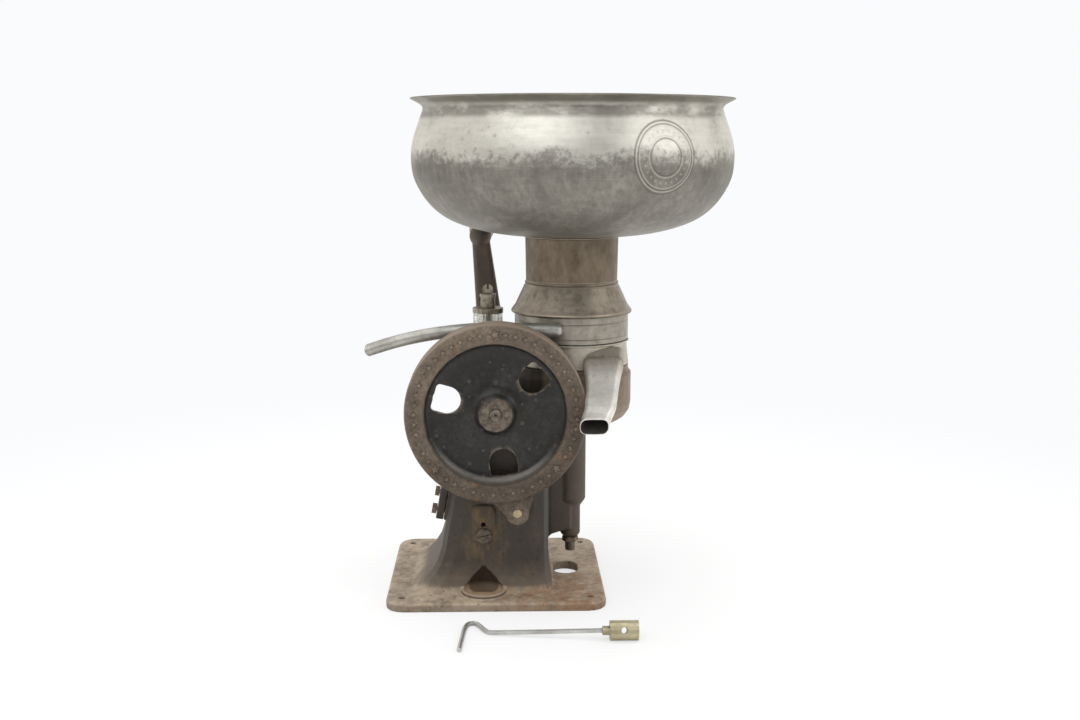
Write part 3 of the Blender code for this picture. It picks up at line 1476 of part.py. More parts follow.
def worm_section():
    """The worm's section square to its axis: one lobe for each start."""
    lobe = 2 * math.pi / WORM_STARTS
    quarter_pitch = math.pi * WORM_MODULE / 4

    def half_angle(radius):
        half = quarter_pitch - WORM_BACKLASH / 4 - (radius - WORM_PITCH) * math.tan(PRESSURE_ANGLE)
        return 2 * math.pi * half / WORM_LEAD

    tip, root = half_angle(WORM_OUTER), half_angle(WORM_ROOT)
    points = []
    for i in range(WORM_STARTS):
        centre = math.pi + i * lobe
        lobe_points = (
            (WORM_ROOT, -root),
            (WORM_OUTER, -tip),
            (WORM_OUTER, 0),
            (WORM_OUTER, tip),
            (WORM_ROOT, root),
            (WORM_ROOT, lobe / 2),
        )
        points += [(r * math.cos(centre + a), r * math.sin(centre + a)) for r, a in lobe_points]
    return points


def make_spindle():
    """The bowl's spindle, turned with its worm in one piece."""
    below = CONE_BASE
    profile = [
        (0, below + SPINDLE_CONE_HEIGHT),
        (SPINDLE_CONE_TOP, below + SPINDLE_CONE_HEIGHT),
        (SPINDLE_CONE_BASE, below),
        (SPINDLE_RADIUS, below - (SPINDLE_CONE_BASE - SPINDLE_RADIUS)),
        (SPINDLE_RADIUS, CHAMBER_FLOOR),
        (SPINDLE_FOOT_RADIUS, CHAMBER_FLOOR),
        (SPINDLE_FOOT_RADIUS, SPINDLE_FOOT),
        (0, SPINDLE_FOOT),
    ]
    spindle = turned("spindle", profile, SMALL_SIDES, (SPINDLE_X, 0, 0))
    layers = max(2, round(WORM_LENGTH / WORM_LEAD * WORM_TURN_STEPS))
    section = worm_section()
    rings = []
    for i in range(layers + 1):
        up = WORM_LENGTH * (i / layers - 1 / 2)
        ring = turned_by(section, 2 * math.pi * up / WORM_LEAD)
        rings.append([(x, y, LAYSHAFT_Z + up) for x, y in ring])
    fuse(spindle, lofted("worm", rings, (SPINDLE_X, 0, 0)))
    keep(spindle, STEEL)


def make_bearings():
    place = (SPINDLE_X, 0, 0)
    inner = SPINDLE_RADIUS + GAP
    seat = PAN_FLOOR + GAP
    bush = turned(
        "neck_bush",
        [
            (inner, seat + NECK_BUSH_FLANGE_THICK),
            (NECK_BUSH_FLANGE, seat + NECK_BUSH_FLANGE_THICK),
            (NECK_BUSH_FLANGE, seat),
            (NECK_BUSH_RADIUS, seat),
            (NECK_BUSH_RADIUS, seat - NECK_BUSH_LENGTH),
            (inner, seat - NECK_BUSH_LENGTH),
        ],
        SMALL_SIDES,
        place,
        ring=True,
    )
    keep(bush, BRONZE)
    floor = FOOTSTEP_FLOOR + GAP
    footstep = sleeve(
        "footstep_bush",
        FOOTSTEP_RADIUS,
        SPINDLE_FOOT_RADIUS + GAP,
        CHAMBER_FLOOR - 2 * GAP,
        floor,
        SMALL_SIDES,
        place,
    )
    keep(footstep, BRONZE)
    keep(ball("footstep_ball", BALL_RADIUS, (SPINDLE_X, 0, floor + BALL_RADIUS)), STEEL)
    screw = rod("adjusting_screw", SCREW_RADIUS, floor - GAP, SCREW_TIP_HEIGHT, TINY_SIDES, place)
    half = SCREW_RADIUS + OVERRUN
    slot = [(-half, -SCREW_SLOT / 2), (half, -SCREW_SLOT / 2), (half, SCREW_SLOT / 2), (-half, SCREW_SLOT / 2)]
    cut(screw, flat("screw slot", [slot], 2 * SCREW_SLOT, (SPINDLE_X, 0, SCREW_TIP_HEIGHT)))
    keep(screw, STEEL)
    nut_top = COLUMN_TIP_HEIGHT - GAP
    nut = flat(
        "lock_nut",
        [circle(LOCK_NUT_RADIUS, 6), circle(SCREW_RADIUS + GAP, TINY_SIDES)],
        LOCK_NUT_THICK,
        (SPINDLE_X, 0, nut_top - LOCK_NUT_THICK / 2),
    )
    keep(nut, CAST_IRON)


# Bowl


def make_bowl():
    place = (SPINDLE_X, 0, 0)
    foot, rim = BOWL_FOOT, BOWL_RIM
    inside = BOWL_RADIUS - BOWL_WALL
    bore = FEED_TUBE_RADIUS - FEED_TUBE_WALL
    cone_top = CONE_BASE + SPINDLE_CONE_HEIGHT
    web = cone_top + GAP + FEED_TUBE_WALL
    tube_top = foot + HOOD_NECK_TOP + BOWL_NUT_THICK + FEED_TUBE_WALL
    floor = foot + BOWL_FLOOR_THICK
    boss = SPINDLE_CONE_BASE + BOWL_WALL
    body = turned(
        "bowl_body",
        [
            (0, web),
            (bore, web),
            (bore, tube_top),
            (FEED_TUBE_RADIUS, tube_top),
            (FEED_TUBE_RADIUS, web + BOWL_WALL),
            (boss, web),
            (boss, floor),
            (inside - BOWL_CHAMFER, floor),
            (inside, floor + BOWL_CHAMFER),
            (inside, rim),
            (BOWL_RADIUS, rim),
            (BOWL_RADIUS, foot + BOWL_CHAMFER),
            (BOWL_RADIUS - BOWL_CHAMFER, foot),
            (SPINDLE_CONE_BASE + GAP, foot),
            (SPINDLE_CONE_TOP + GAP, cone_top + GAP),
            (0, cone_top + GAP),
        ],
        MIDDLE_SIDES,
        place,
    )
    hole = web + FEED_HOLE_RADIUS + GAP
    across = BOWL_RADIUS / 2
    cut(body, rod("feed hole", FEED_HOLE_RADIUS, across, -across, TINY_SIDES // 2, (SPINDLE_X, 0, hole), ALONG_Y))
    keep(body, STEEL)

    tangent = math.tan(DISC_SLOPE)
    collar_inner = FEED_TUBE_RADIUS + GAP
    collar = collar_inner + DISTRIBUTOR_WALL
    skirt = DISC_RADIUS
    drop = (skirt - collar) * tangent
    skirt_foot = floor + GAP + BOWL_CHAMFER
    skirt_top = skirt_foot + drop
    thick = DISTRIBUTOR_WALL / math.cos(DISC_SLOPE)
    inner_skirt = boss + BOWL_WALL
    distributor = turned(
        "distributor",
        [
            (collar_inner, skirt_top + thick + DISTRIBUTOR_COLLAR - drop / 2),
            (collar, skirt_top + thick + DISTRIBUTOR_COLLAR - drop / 2),
            (collar, skirt_top + thick),
            (skirt, skirt_foot + thick),
            (skirt, skirt_foot),
            (inner_skirt, skirt_foot + (skirt - inner_skirt) * tangent),
            (collar_inner, skirt_foot + (skirt - inner_skirt) * tangent),
        ],
        SMALL_SIDES,
        place,
        ring=True,
    )
    keep(distributor, TINPLATE)

    wall = DISC_WALL / math.cos(DISC_SLOPE)
    disc_inner = collar + GAP
    disc_drop = (skirt - disc_inner) * tangent
    base = skirt_foot + thick + GAP / math.cos(DISC_SLOPE)
    pitch = wall + GAP / math.cos(DISC_SLOPE)
    for i in range(DISCS):
        low = base + i * pitch
        high = low + disc_drop
        disc = turned(
            f"disc_{i + 1}",
            [(disc_inner, high + wall), (skirt, low + wall), (skirt, low), (disc_inner, high)],
            SMALL_SIDES,
            place,
            ring=True,
        )
        keep(disc, TINPLATE)

    seal = rim + GAP
    seal_ring = sleeve("bowl_seal", BOWL_RADIUS - GAP, inside + GAP, seal + SEAL_THICK, seal, SMALL_SIDES, place)
    keep(seal_ring, RUBBER)

    hood_foot = seal + SEAL_THICK + GAP
    neck_top = foot + HOOD_NECK_TOP
    slope = (BOWL_RADIUS - HOOD_NECK_RADIUS) * tangent
    shoulder = hood_foot + HOOD_SKIRT + slope
    inner_neck = HOOD_NECK_RADIUS - BOWL_WALL + HOOD_WALL / 3
    inner_wall = BOWL_RADIUS - HOOD_WALL
    inner_shoulder = hood_foot + HOOD_SKIRT + (inner_wall - inner_neck) * tangent - HOOD_WALL / 4
    hood = turned(
        "bowl_hood",
        [
            (FEED_TUBE_RADIUS + GAP, neck_top),
            (HOOD_NECK_RADIUS, neck_top),
            (HOOD_NECK_RADIUS, shoulder),
            (BOWL_RADIUS, hood_foot + HOOD_SKIRT),
            (BOWL_RADIUS, hood_foot),
            (inner_wall, hood_foot),
            (inner_wall, hood_foot + HOOD_SKIRT - HOOD_WALL / 4),
            (inner_neck, inner_shoulder),
            (inner_neck, neck_top - HOOD_WALL),
            (FEED_TUBE_RADIUS + GAP, neck_top - HOOD_WALL),
        ],
        MIDDLE_SIDES,
        place,
        ring=True,
    )
    for height in (SKIM_FOOT + FUNNEL_RISE + BOWL_NUT_THICK, CREAM_FOOT + FUNNEL_RISE + FUNNEL_LIP):
        if height < neck_top - HOOD_WALL:
            outlet = rod(
                "outlet", OUTLET_RADIUS, HOOD_NECK_RADIUS + GAP, 0, TINY_SIDES // 2, (SPINDLE_X, 0, height), ALONG_Y
            )
            cut(hood, outlet)
    keep(hood, STEEL)

    nut_foot = neck_top + GAP
    nut = flat(
        "bowl_nut",
        [circle(BOWL_NUT_RADIUS, BOWL_NUT_FLATS), circle(FEED_TUBE_RADIUS + GAP, SMALL_SIDES)],
        BOWL_NUT_THICK,
        (SPINDLE_X, 0, nut_foot + BOWL_NUT_THICK / 2),
    )
    keep(nut, BRASS)


# Tinware


def funnel_floor(foot, radius):
    """The line of a cover's inner floor, rising to the lip round the bowl's neck."""
    return [
        (radius, foot),
        (FUNNEL_MOUTH, foot + FUNNEL_RISE),
        (FUNNEL_MOUTH - TIN, foot + FUNNEL_RISE + FUNNEL_LIP),
    ]


def superellipse(width, thick, count, squareness):
    """Points round a flat oval."""
    points = []
    for i in range(count):
        a = 2 * math.pi * i / count
        c, s = math.cos(a), math.sin(a)
        x = math.copysign(abs(c) ** (2 / squareness), c) * width / 2
        y = math.copysign(abs(s) ** (2 / squareness), s) * thick / 2
        points.append((x, y))
    return points


def spout_rings(shrink, extend):
    """Sections square to the skim spout, drawn in by shrink and run on past its mouth by extend."""
    rings = []
    for place, wide, thick, heading in zip(SKIM_PATH, SKIM_WIDTH_SHARES, SKIM_THICK_SHARES, SKIM_HEADINGS):
        oval = superellipse(
            SKIM_SPOUT_WIDTH * wide - 2 * shrink, SKIM_SPOUT_THICK * thick - 2 * shrink, SPOUT_POINTS, SPOUT_SQUARENESS
        )
        up = Vector((0, -math.sin(heading), math.cos(heading)))
        rings.append([Vector(place) + Vector((x, 0, 0)) + up * y for x, y in oval])
    for index, sign in ((0, -1), (-1, 1)):
        heading = SKIM_HEADINGS[index]
        ahead = Vector((0, -math.cos(heading), -math.sin(heading))) * extend * sign
        rings[index] = [p + ahead for p in rings[index]]
    return rings


def make_skim_cover():
    place = (SPINDLE_X, 0, 0)
    line = [
        (SKIM_TOP_RADIUS + SKIM_FLANGE, SKIM_TOP),
        (SKIM_TOP_RADIUS + SKIM_FLANGE, SKIM_TOP - BEAD_HEIGHT),
        (SKIM_TOP_RADIUS, SKIM_TOP - BEAD_HEIGHT),
        (SKIM_FOOT_RADIUS, SKIM_FOOT + BEAD_HEIGHT),
        *funnel_floor(SKIM_FOOT, SKIM_FOOT_RADIUS - TIN),
    ]
    cover = shell("skim_cover", line, LARGE_SIDES, TIN, place)
    way_out = lofted("skim way out", spout_rings(2 * TIN, OVERRUN), (SPINDLE_X, 0, SKIM_FOOT))
    cut(cover, way_out)
    keep(cover, TINPLATE)

    seat = (SPINDLE_X, 0, SKIM_FOOT)
    spout = lofted("skim_spout", spout_rings(0, 0), seat)
    cut(spout, lofted("spout inside", spout_rings(TIN, OVERRUN), seat))
    radius = SKIM_FOOT_RADIUS + GAP
    line = [
        (0, SKIM_HEIGHT + SKIM_SPOUT_THICK),
        (SKIM_TOP_RADIUS + SKIM_FLANGE + GAP, SKIM_HEIGHT + SKIM_SPOUT_THICK),
        (SKIM_TOP_RADIUS + SKIM_FLANGE + GAP, SKIM_HEIGHT - BEAD_HEIGHT - GAP),
        (SKIM_TOP_RADIUS + GAP, SKIM_HEIGHT - BEAD_HEIGHT - GAP),
        (radius, BEAD_HEIGHT),
        (radius, -SKIM_SPOUT_THICK),
        (0, -SKIM_SPOUT_THICK),
    ]
    cut(spout, turned("cover room", line, LARGE_SIDES, seat))
    keep(spout, TINPLATE)


def cream_line():
    points = [(x, CREAM_SPOUT_Y, z) for x, z in CREAM_PATH]
    return smooth_line(points, CREAM_PATH_STEPS)


def make_cream_cover():
    place = (SPINDLE_X, 0, 0)
    line = [
        (CREAM_RADIUS, CREAM_TOP),
        (CREAM_RADIUS, CREAM_FOOT),
        *funnel_floor(CREAM_FOOT, CREAM_RADIUS - TIN),
    ]
    cover = shell("cream_cover", line, LARGE_SIDES, TIN, place)
    seat = (SPINDLE_X, 0, CREAM_FOOT)
    path = cream_line()
    taper = [1 - (1 - CREAM_TIP_SHARE) * i / (len(path) - 1) for i in range(len(path))]
    inner = CREAM_SPOUT_RADIUS - TIN
    way_out = bent_tube("cream way out", path[1:5], inner - TIN, place=seat)
    cut(cover, way_out)
    keep(cover, TINPLATE)

    spout = bent_tube("cream_spout", path, CREAM_SPOUT_RADIUS, taper, place=seat)
    beyond = 2 * Vector(path[-1]) - Vector(path[-2])
    inside = [*path[1:], beyond]
    cut(spout, bent_tube("cream inside", inside, inner, [*taper[1:], taper[-1]], place=seat))
    room = rod("cream room", CREAM_RADIUS + GAP, CREAM_HEIGHT + OVERRUN, -OVERRUN, LARGE_SIDES, seat)
    cut(spout, room)
    keep(spout, TINPLATE)


def make_regulating_cover():
    place = (SPINDLE_X, 0, 0)
    floor = CONE_FOOT + FLOAT_FLOOR_RISE
    line = [
        (NECK_RIM_RADIUS, NECK_TOP),
        (NECK_RIM_RADIUS, NECK_TOP - BEAD_HEIGHT / 2),
        (NECK_RADIUS, NECK_TOP - BEAD_HEIGHT),
        (NECK_FOOT_RADIUS, CONE_TOP + BEAD_HEIGHT),
        (NECK_FOOT_RADIUS + TIN, CONE_TOP + BEAD_HEIGHT / 2),
        (NECK_FOOT_RADIUS + TIN, CONE_TOP - BEAD_HEIGHT / 2),
        (CONE_FOOT_RADIUS - TIN, CONE_FOOT + 2 * BEAD_HEIGHT),
        (CONE_FOOT_RADIUS, CONE_FOOT + BEAD_HEIGHT),
        (CONE_FOOT_RADIUS - TIN, CONE_FOOT),
        (CREAM_RADIUS - 2 * TIN, CONE_FOOT),
        (CREAM_RADIUS - 2 * TIN - FLOAT_FLOOR_RISE, floor),
        (NOZZLE_RADIUS + NOZZLE_CONE, floor),
        (NOZZLE_RADIUS, floor - NOZZLE_CONE / 2),
        (NOZZLE_RADIUS, floor - NOZZLE_LENGTH),
    ]
    keep(shell("regulating_cover", line, LARGE_SIDES, TIN, place), DULL_TIN)

    rest = floor + TIN + GAP
    edge = arc(FLOAT_EDGE, math.pi / 2, 0, FLOAT_STEPS // 2, (FLOAT_RADIUS - FLOAT_EDGE, FLOAT_HEIGHT - FLOAT_EDGE))
    under = arc(FLOAT_EDGE, 0, -math.pi / 2, FLOAT_STEPS // 2, (FLOAT_RADIUS - FLOAT_EDGE, FLOAT_EDGE))
    profile = [(0, FLOAT_HEIGHT + TIN), *edge, *under, (0, 0)]
    keep(turned("float", profile, SMALL_SIDES, (SPINDLE_X, 0, rest)), TINPLATE)


def make_tank():
    place = (SPINDLE_X, 0, TANK_FOOT)
    line = [(TANK_RADIUS * r, TANK_HEIGHT * z) for r, z in TANK_PROFILE_SHARES]
    line.append((OUTLET_TUBE_RADIUS + GAP, 0))
    keep(shell("tank", line, LARGE_SIDES, TANK_TIN, place), TINPLATE)
    seat = TANK_FOOT + TANK_TIN + GAP
    inner = KEY_PLUG_RADIUS + GAP
    outlet = turned(
        "tank_outlet",
        [
            (inner, seat + OUTLET_FLANGE_THICK),
            (OUTLET_FLANGE, seat + OUTLET_FLANGE_THICK),
            (OUTLET_FLANGE, seat),
            (OUTLET_TUBE_RADIUS, seat),
            (OUTLET_TUBE_RADIUS, seat - OUTLET_TUBE_LENGTH),
            (inner, seat - OUTLET_TUBE_LENGTH),
        ],
        SMALL_SIDES,
        (SPINDLE_X, 0, 0),
        ring=True,
    )
    keep(outlet, BRASS)


def make_tap_key():
    """The tank's tap plug on its hooked rod, lying on the ground in front."""
    axis = KEY_PLUG_RADIUS
    plug_left = KEY_X - KEY_PLUG_LENGTH
    plug = rod(
        "tap_plug",
        KEY_PLUG_RADIUS,
        0,
        -KEY_PLUG_LENGTH,
        SMALL_SIDES,
        (KEY_X, KEY_Y, axis),
        (0, math.pi / 2, 0),
    )
    collar = rod(
        "collar",
        KEY_COLLAR_RADIUS,
        MERGE,
        -KEY_COLLAR_LENGTH,
        TINY_SIDES,
        (plug_left, KEY_Y, axis),
        (0, math.pi / 2, 0),
    )
    fuse(plug, collar)
    middle = (KEY_X - KEY_PLUG_LENGTH / 2, KEY_Y, axis)
    reach = KEY_PLUG_RADIUS + OVERRUN
    cut(plug, rod("plug bore", KEY_PLUG_BORE, reach, -reach, TINY_SIDES, middle, (KEY_PLUG_BORE_TURN, 0, 0)))
    keep(plug, BRASS)
    start = plug_left - KEY_COLLAR_LENGTH - GAP
    drop = KEY_PLUG_RADIUS - KEY_ROD_RADIUS - GAP / 2
    path = [
        (start - KEY_ROD_LENGTH * a, KEY_Y + KEY_HOOK_DEPTH * b, axis - drop * c) for a, b, c in KEY_PATH_SHARES
    ]
    keep(bent_tube("tap_rod", path, KEY_ROD_RADIUS), STEEL)


# Crank and grip


def make_crank():
    centre = (0, CRANK_PLANE, CRANK_HEIGHT)
    half = CRANK_HUB_LENGTH / 2
    arm = sleeve("crank_arm", CRANK_HUB_RADIUS, SHAFT_RADIUS + GAP, half, -half, SMALL_SIDES, centre, ALONG_Y)
    rings = []
    levels = ((SHAFT_BUSH_RADIUS + BUSH_WALL, 0), (CRANK_RADIUS - ARM_BALL_RADIUS / 2, 1))
    for reach, share in levels:
        width = ARM_ROOT_WIDTH + (ARM_TIP_WIDTH - ARM_ROOT_WIDTH) * share
        thick = ARM_ROOT_THICK + (ARM_TIP_THICK - ARM_ROOT_THICK) * share
        outline = rounded_box(-width / 2, width / 2, -thick / 2, thick / 2, ARM_CORNER, steps=2)
        rings.append([(x, y, reach) for x, y in outline])
    bar = lofted("bar", rings, centre, (0, -CRANK_TILT, 0))
    tip_x = -CRANK_RADIUS * math.sin(CRANK_TILT)
    tip_z = CRANK_HEIGHT + CRANK_RADIUS * math.cos(CRANK_TILT)
    tip = (tip_x, CRANK_PLANE, tip_z)
    fuse(arm, bar, ball("knob", ARM_BALL_RADIUS, tip, segments=SMALL_SIDES))
    pin_bore = rod("pin bore", GRIP_PIN_RADIUS + GAP, 0, -2 * ARM_BALL_RADIUS, TINY_SIDES, tip, ALONG_Y)
    hub_pin = rod(
        "crank_pin",
        PIN_RADIUS,
        CRANK_HUB_RADIUS - GAP,
        SHAFT_RADIUS + GAP,
        TINY_SIDES,
        centre,
        (0, math.pi / 2, 0),
    )
    pin_hole = rod(
        "hub pin hole",
        PIN_RADIUS + GAP,
        CRANK_HUB_RADIUS + OVERRUN,
        SHAFT_RADIUS,
        TINY_SIDES,
        centre,
        (0, math.pi / 2, 0),
    )
    cut(arm, pin_bore, pin_hole)
    keep(arm, CAST_IRON)
    keep(hub_pin, STEEL)

    grip_front = ARM_BALL_RADIUS + GAP
    grip_back = grip_front + GRIP_LENGTH
    pin = turned(
        "grip_pin",
        [
            (0, -GAP),
            (GRIP_PIN_RADIUS, -GAP),
            (GRIP_PIN_RADIUS, -grip_back - GAP),
            (GRIP_HEAD_RADIUS, -grip_back - GAP),
            (GRIP_HEAD_RADIUS, -grip_back - GRIP_HEAD_THICK),
            (0, -grip_back - GRIP_HEAD_THICK - GAP),
        ],
        TINY_SIDES,
        tip,
        ALONG_Y,
    )
    keep(pin, STEEL)
    profile = [(GRIP_BORE, -grip_front)]
    profile += [(GRIP_RADIUS * r, -grip_front - GRIP_LENGTH * (1 - z)) for r, z in GRIP_PROFILE_SHARES]
    profile.append((GRIP_BORE, -grip_back))
    grip = turned("crank_grip", profile, SMALL_SIDES, tip, ALONG_Y, ring=True)
    keep(grip, WOOD)


clear_scene()
parts = new_collection("Cream separator")
cutters = new_collection("Cutters", hidden=True)
make_frame_casting()
make_side_cover()
make_drain_plug()
make_gear_cover()
make_oiler()
make_crankshaft()
make_crank_gear()
make_layshaft()
make_worm_wheel()
make_spindle()
make_bearings()
make_bowl()
make_skim_cover()
make_cream_cover()
make_regulating_cover()
make_tank()
make_tap_key()
make_crank()
for piece in parts.objects:
    smooth(piece)
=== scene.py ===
import math

import bpy
from mathutils import Matrix, Vector


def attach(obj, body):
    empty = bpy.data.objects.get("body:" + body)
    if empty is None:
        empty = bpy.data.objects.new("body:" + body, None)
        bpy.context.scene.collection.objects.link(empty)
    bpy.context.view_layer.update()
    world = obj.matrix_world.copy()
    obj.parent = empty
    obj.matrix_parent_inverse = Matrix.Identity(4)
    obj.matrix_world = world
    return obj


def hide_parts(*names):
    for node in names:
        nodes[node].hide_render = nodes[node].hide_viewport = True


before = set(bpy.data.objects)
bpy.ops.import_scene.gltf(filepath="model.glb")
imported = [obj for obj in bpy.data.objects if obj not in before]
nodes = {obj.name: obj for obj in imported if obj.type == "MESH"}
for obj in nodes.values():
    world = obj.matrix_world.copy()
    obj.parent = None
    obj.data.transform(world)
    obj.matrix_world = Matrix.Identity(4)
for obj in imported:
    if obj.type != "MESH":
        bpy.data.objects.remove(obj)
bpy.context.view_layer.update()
print("loaded", len(nodes), "nodes")

# the axes that the machine is built on
axes = {"spindleX": 0.0785, "crankHeight": 0.196, "coverFront": -0.0958, "coverBack": -0.069}


def startFresh():
    if bpy.context.mode != "OBJECT":
        bpy.ops.object.mode_set(mode="OBJECT")
    bpy.ops.object.select_all(action="DESELECT")


def hold(piece):
    # this piece alone is selected and active
    startFresh()
    piece.select_set(True)
    bpy.context.view_layer.objects.active = piece


def editAll(piece):
    hold(piece)
    bpy.ops.object.mode_set(mode="EDIT")
    bpy.ops.mesh.select_all(action="SELECT")


def bakePlace(piece):
    # puts the place, turn and size into the mesh, and leaves the object at the origin
    hold(piece)
    bpy.ops.object.transform_apply(location=True, rotation=True, scale=True)
    return piece


def setDown(piece, place, turns=(0, 0, 0)):
    piece.location = place
    piece.rotation_euler = turns
    return bakePlace(piece)


def tidyFaces(piece, reach=0.00002):
    editAll(piece)
    bpy.ops.mesh.remove_doubles(threshold=reach)
    bpy.ops.mesh.normals_make_consistent(inside=False)
    startFresh()
    return piece


def applyModifier(piece, kind, **settings):
    hold(piece)
    modifier = piece.modifiers.new(kind.title(), kind)
    for key, value in settings.items():
        setattr(modifier, key, value)
    bpy.ops.object.modifier_apply(modifier=modifier.name)


def cutWith(piece, tool, operation="DIFFERENCE"):
    applyModifier(piece, "BOOLEAN", operation=operation, solver="EXACT", object=tool)
    bpy.data.objects.remove(tool)


def joinWith(piece, other):
    cutWith(piece, other, "UNION")


def bevelEdges(piece, width, segments, degrees):
    settings = {"width": width, "segments": segments, "angle_limit": math.radians(degrees)}
    applyModifier(piece, "BEVEL", limit_method="ANGLE", **settings)


def softShade(piece, degrees):
    hold(piece)
    bpy.ops.object.shade_smooth_by_angle(angle=math.radians(degrees))


def between(before, here, then, after, t):
    # the value of a soft curve, a share t of the way from here to then
    slope, bend = then - before, 2 * before - 5 * here + 4 * then - after
    return (2 * here + slope * t + bend * t**2 + (3 * here - before - 3 * then + after) * t**3) / 2


def smoothProfile(points, steps):
    # a soft line through the points
    ends = [points[0], *points, points[-1]]
    line = []
    for four in zip(ends, ends[1:], ends[2:], ends[3:]):
        for i in range(steps):
            line.append(tuple(between(*values, i / steps) for values in zip(*four)))
    line.append(points[-1])
    return line


def wallLine(line, wall):
    # the way back along the inside of a sheet, this far in from its outer line
    inner = []
    for i, (r, z) in enumerate(line):
        before, after = line[max(i - 1, 0)], line[min(i + 1, len(line) - 1)]
        along = Vector((after[0] - before[0], after[1] - before[1])).normalized()
        inner.append((max(r + along[1] * wall, 0.0001), z - along[0] * wall))
    return list(reversed(inner))


def stepsFrom(radius, height, steps, unit=1):
    # points near an edge: how far out from its radius, and how many units up from its height
    return [(radius + out, height + unit * up) for out, up in steps]


def turnUp(name, line, sides, place, alongY=False):
    # a ring of edges, pulled and scaled from one (radius, height) to the next and back to the first
    startFresh()
    radius, height = line[0]
    bpy.ops.mesh.primitive_circle_add(vertices=sides, radius=radius, location=(0, 0, height))
    piece = bpy.context.active_object
    piece.name = name
    editAll(piece)
    for nextRadius, nextHeight in (*line[1:], line[0]):
        bpy.ops.mesh.extrude_edges_move(TRANSFORM_OT_translate={"value": (0, 0, nextHeight - height)})
        share = nextRadius / radius
        bpy.ops.transform.resize(value=(share, share, 1), center_override=(0, 0, nextHeight))
        radius, height = nextRadius, nextHeight
    tidyFaces(piece)
    bakePlace(piece)
    return setDown(piece, place, (math.pi / 2 if alongY else 0, 0, 0))


def addRod(radius, start, end, sides):
    startFresh()
    start, end = Vector(start), Vector(end)
    bpy.ops.mesh.primitive_cylinder_add(vertices=sides, radius=radius, depth=(end - start).length)
    rod = bpy.context.active_object
    rod.rotation_mode = "QUATERNION"
    rod.rotation_quaternion = (end - start).to_track_quat("Z", "Y")
    rod.location = (start + end) / 2
    bakePlace(rod)
    rod.rotation_mode = "XYZ"
    return rod


def addBlock(size, place):
    startFresh()
    bpy.ops.mesh.primitive_cube_add(size=1)
    block = bpy.context.active_object
    block.scale = size
    return setDown(block, place)


def addPlate(length, width, place=(0, 0, 0)):
    startFresh()
    bpy.ops.mesh.primitive_plane_add(size=1)
    plate = bpy.context.active_object
    plate.scale = (length, width, 1)
    return setDown(plate, place)


def pick(piece, wanted):
    # leaves the piece in edit mode with the corners that the test names selected
    editAll(piece)
    bpy.ops.mesh.select_mode(type="VERT")
    bpy.ops.mesh.select_all(action="DESELECT")
    bpy.ops.object.mode_set(mode="OBJECT")
    for corner in piece.data.vertices:
        corner.select = wanted(corner)
    bpy.ops.object.mode_set(mode="EDIT")


def joinAll(name, pieces):
    startFresh()
    for piece in pieces:
        piece.select_set(True)
    bpy.context.view_layer.objects.active = pieces[0]
    bpy.ops.object.join()
    joined = bpy.context.active_object
    joined.name = name
    return joined


def bridgeRings(name, rings, closeStart=False):
    # the tube's rings stand ready, and the walls are drawn between them
    tube = joinAll(name, rings)
    if closeStart:
        first = len(tube.data.vertices) // len(rings)
        pick(tube, lambda corner: corner.index < first)
        bpy.ops.mesh.edge_face_add()
        bpy.ops.mesh.select_all(action="SELECT")
        bpy.ops.mesh.delete(type="ONLY_FACE")
    editAll(tube)
    bpy.ops.mesh.bridge_edge_loops()
    if closeStart:
        startFresh()
        pick(tube, lambda corner: corner.index < first)
        bpy.ops.mesh.edge_face_add()
    return tidyFaces(tube)


def castSkin(name, voxel, rounds, keep):
    # a copy of a CAD node with its corners rounded the way a casting's are
    startFresh()
    piece = nodes[name].copy()
    piece.data = nodes[name].data.copy()
    piece.parent = None
    piece.name = name + "Skin"
    for key in list(piece.keys()):
        del piece[key]
    bpy.context.scene.collection.objects.link(piece)
    tidyFaces(piece)
    applyModifier(piece, "REMESH", mode="VOXEL", voxel_size=voxel, adaptivity=0)
    applyModifier(piece, "SMOOTH", factor=0.5, iterations=rounds)
    applyModifier(piece, "DECIMATE", ratio=keep)
    return piece


def hand(piece, body, look, stands=(), shade=32):
    # gives a finished piece its look, its body and the CAD nodes that it stands for, which it hides;
    # with no look it keeps the materials that it has
    if look:
        piece.data.materials.clear()
        piece.data.materials.append(look)
    softShade(piece, shade)
    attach(piece, body)
    if stands:
        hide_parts(*stands)


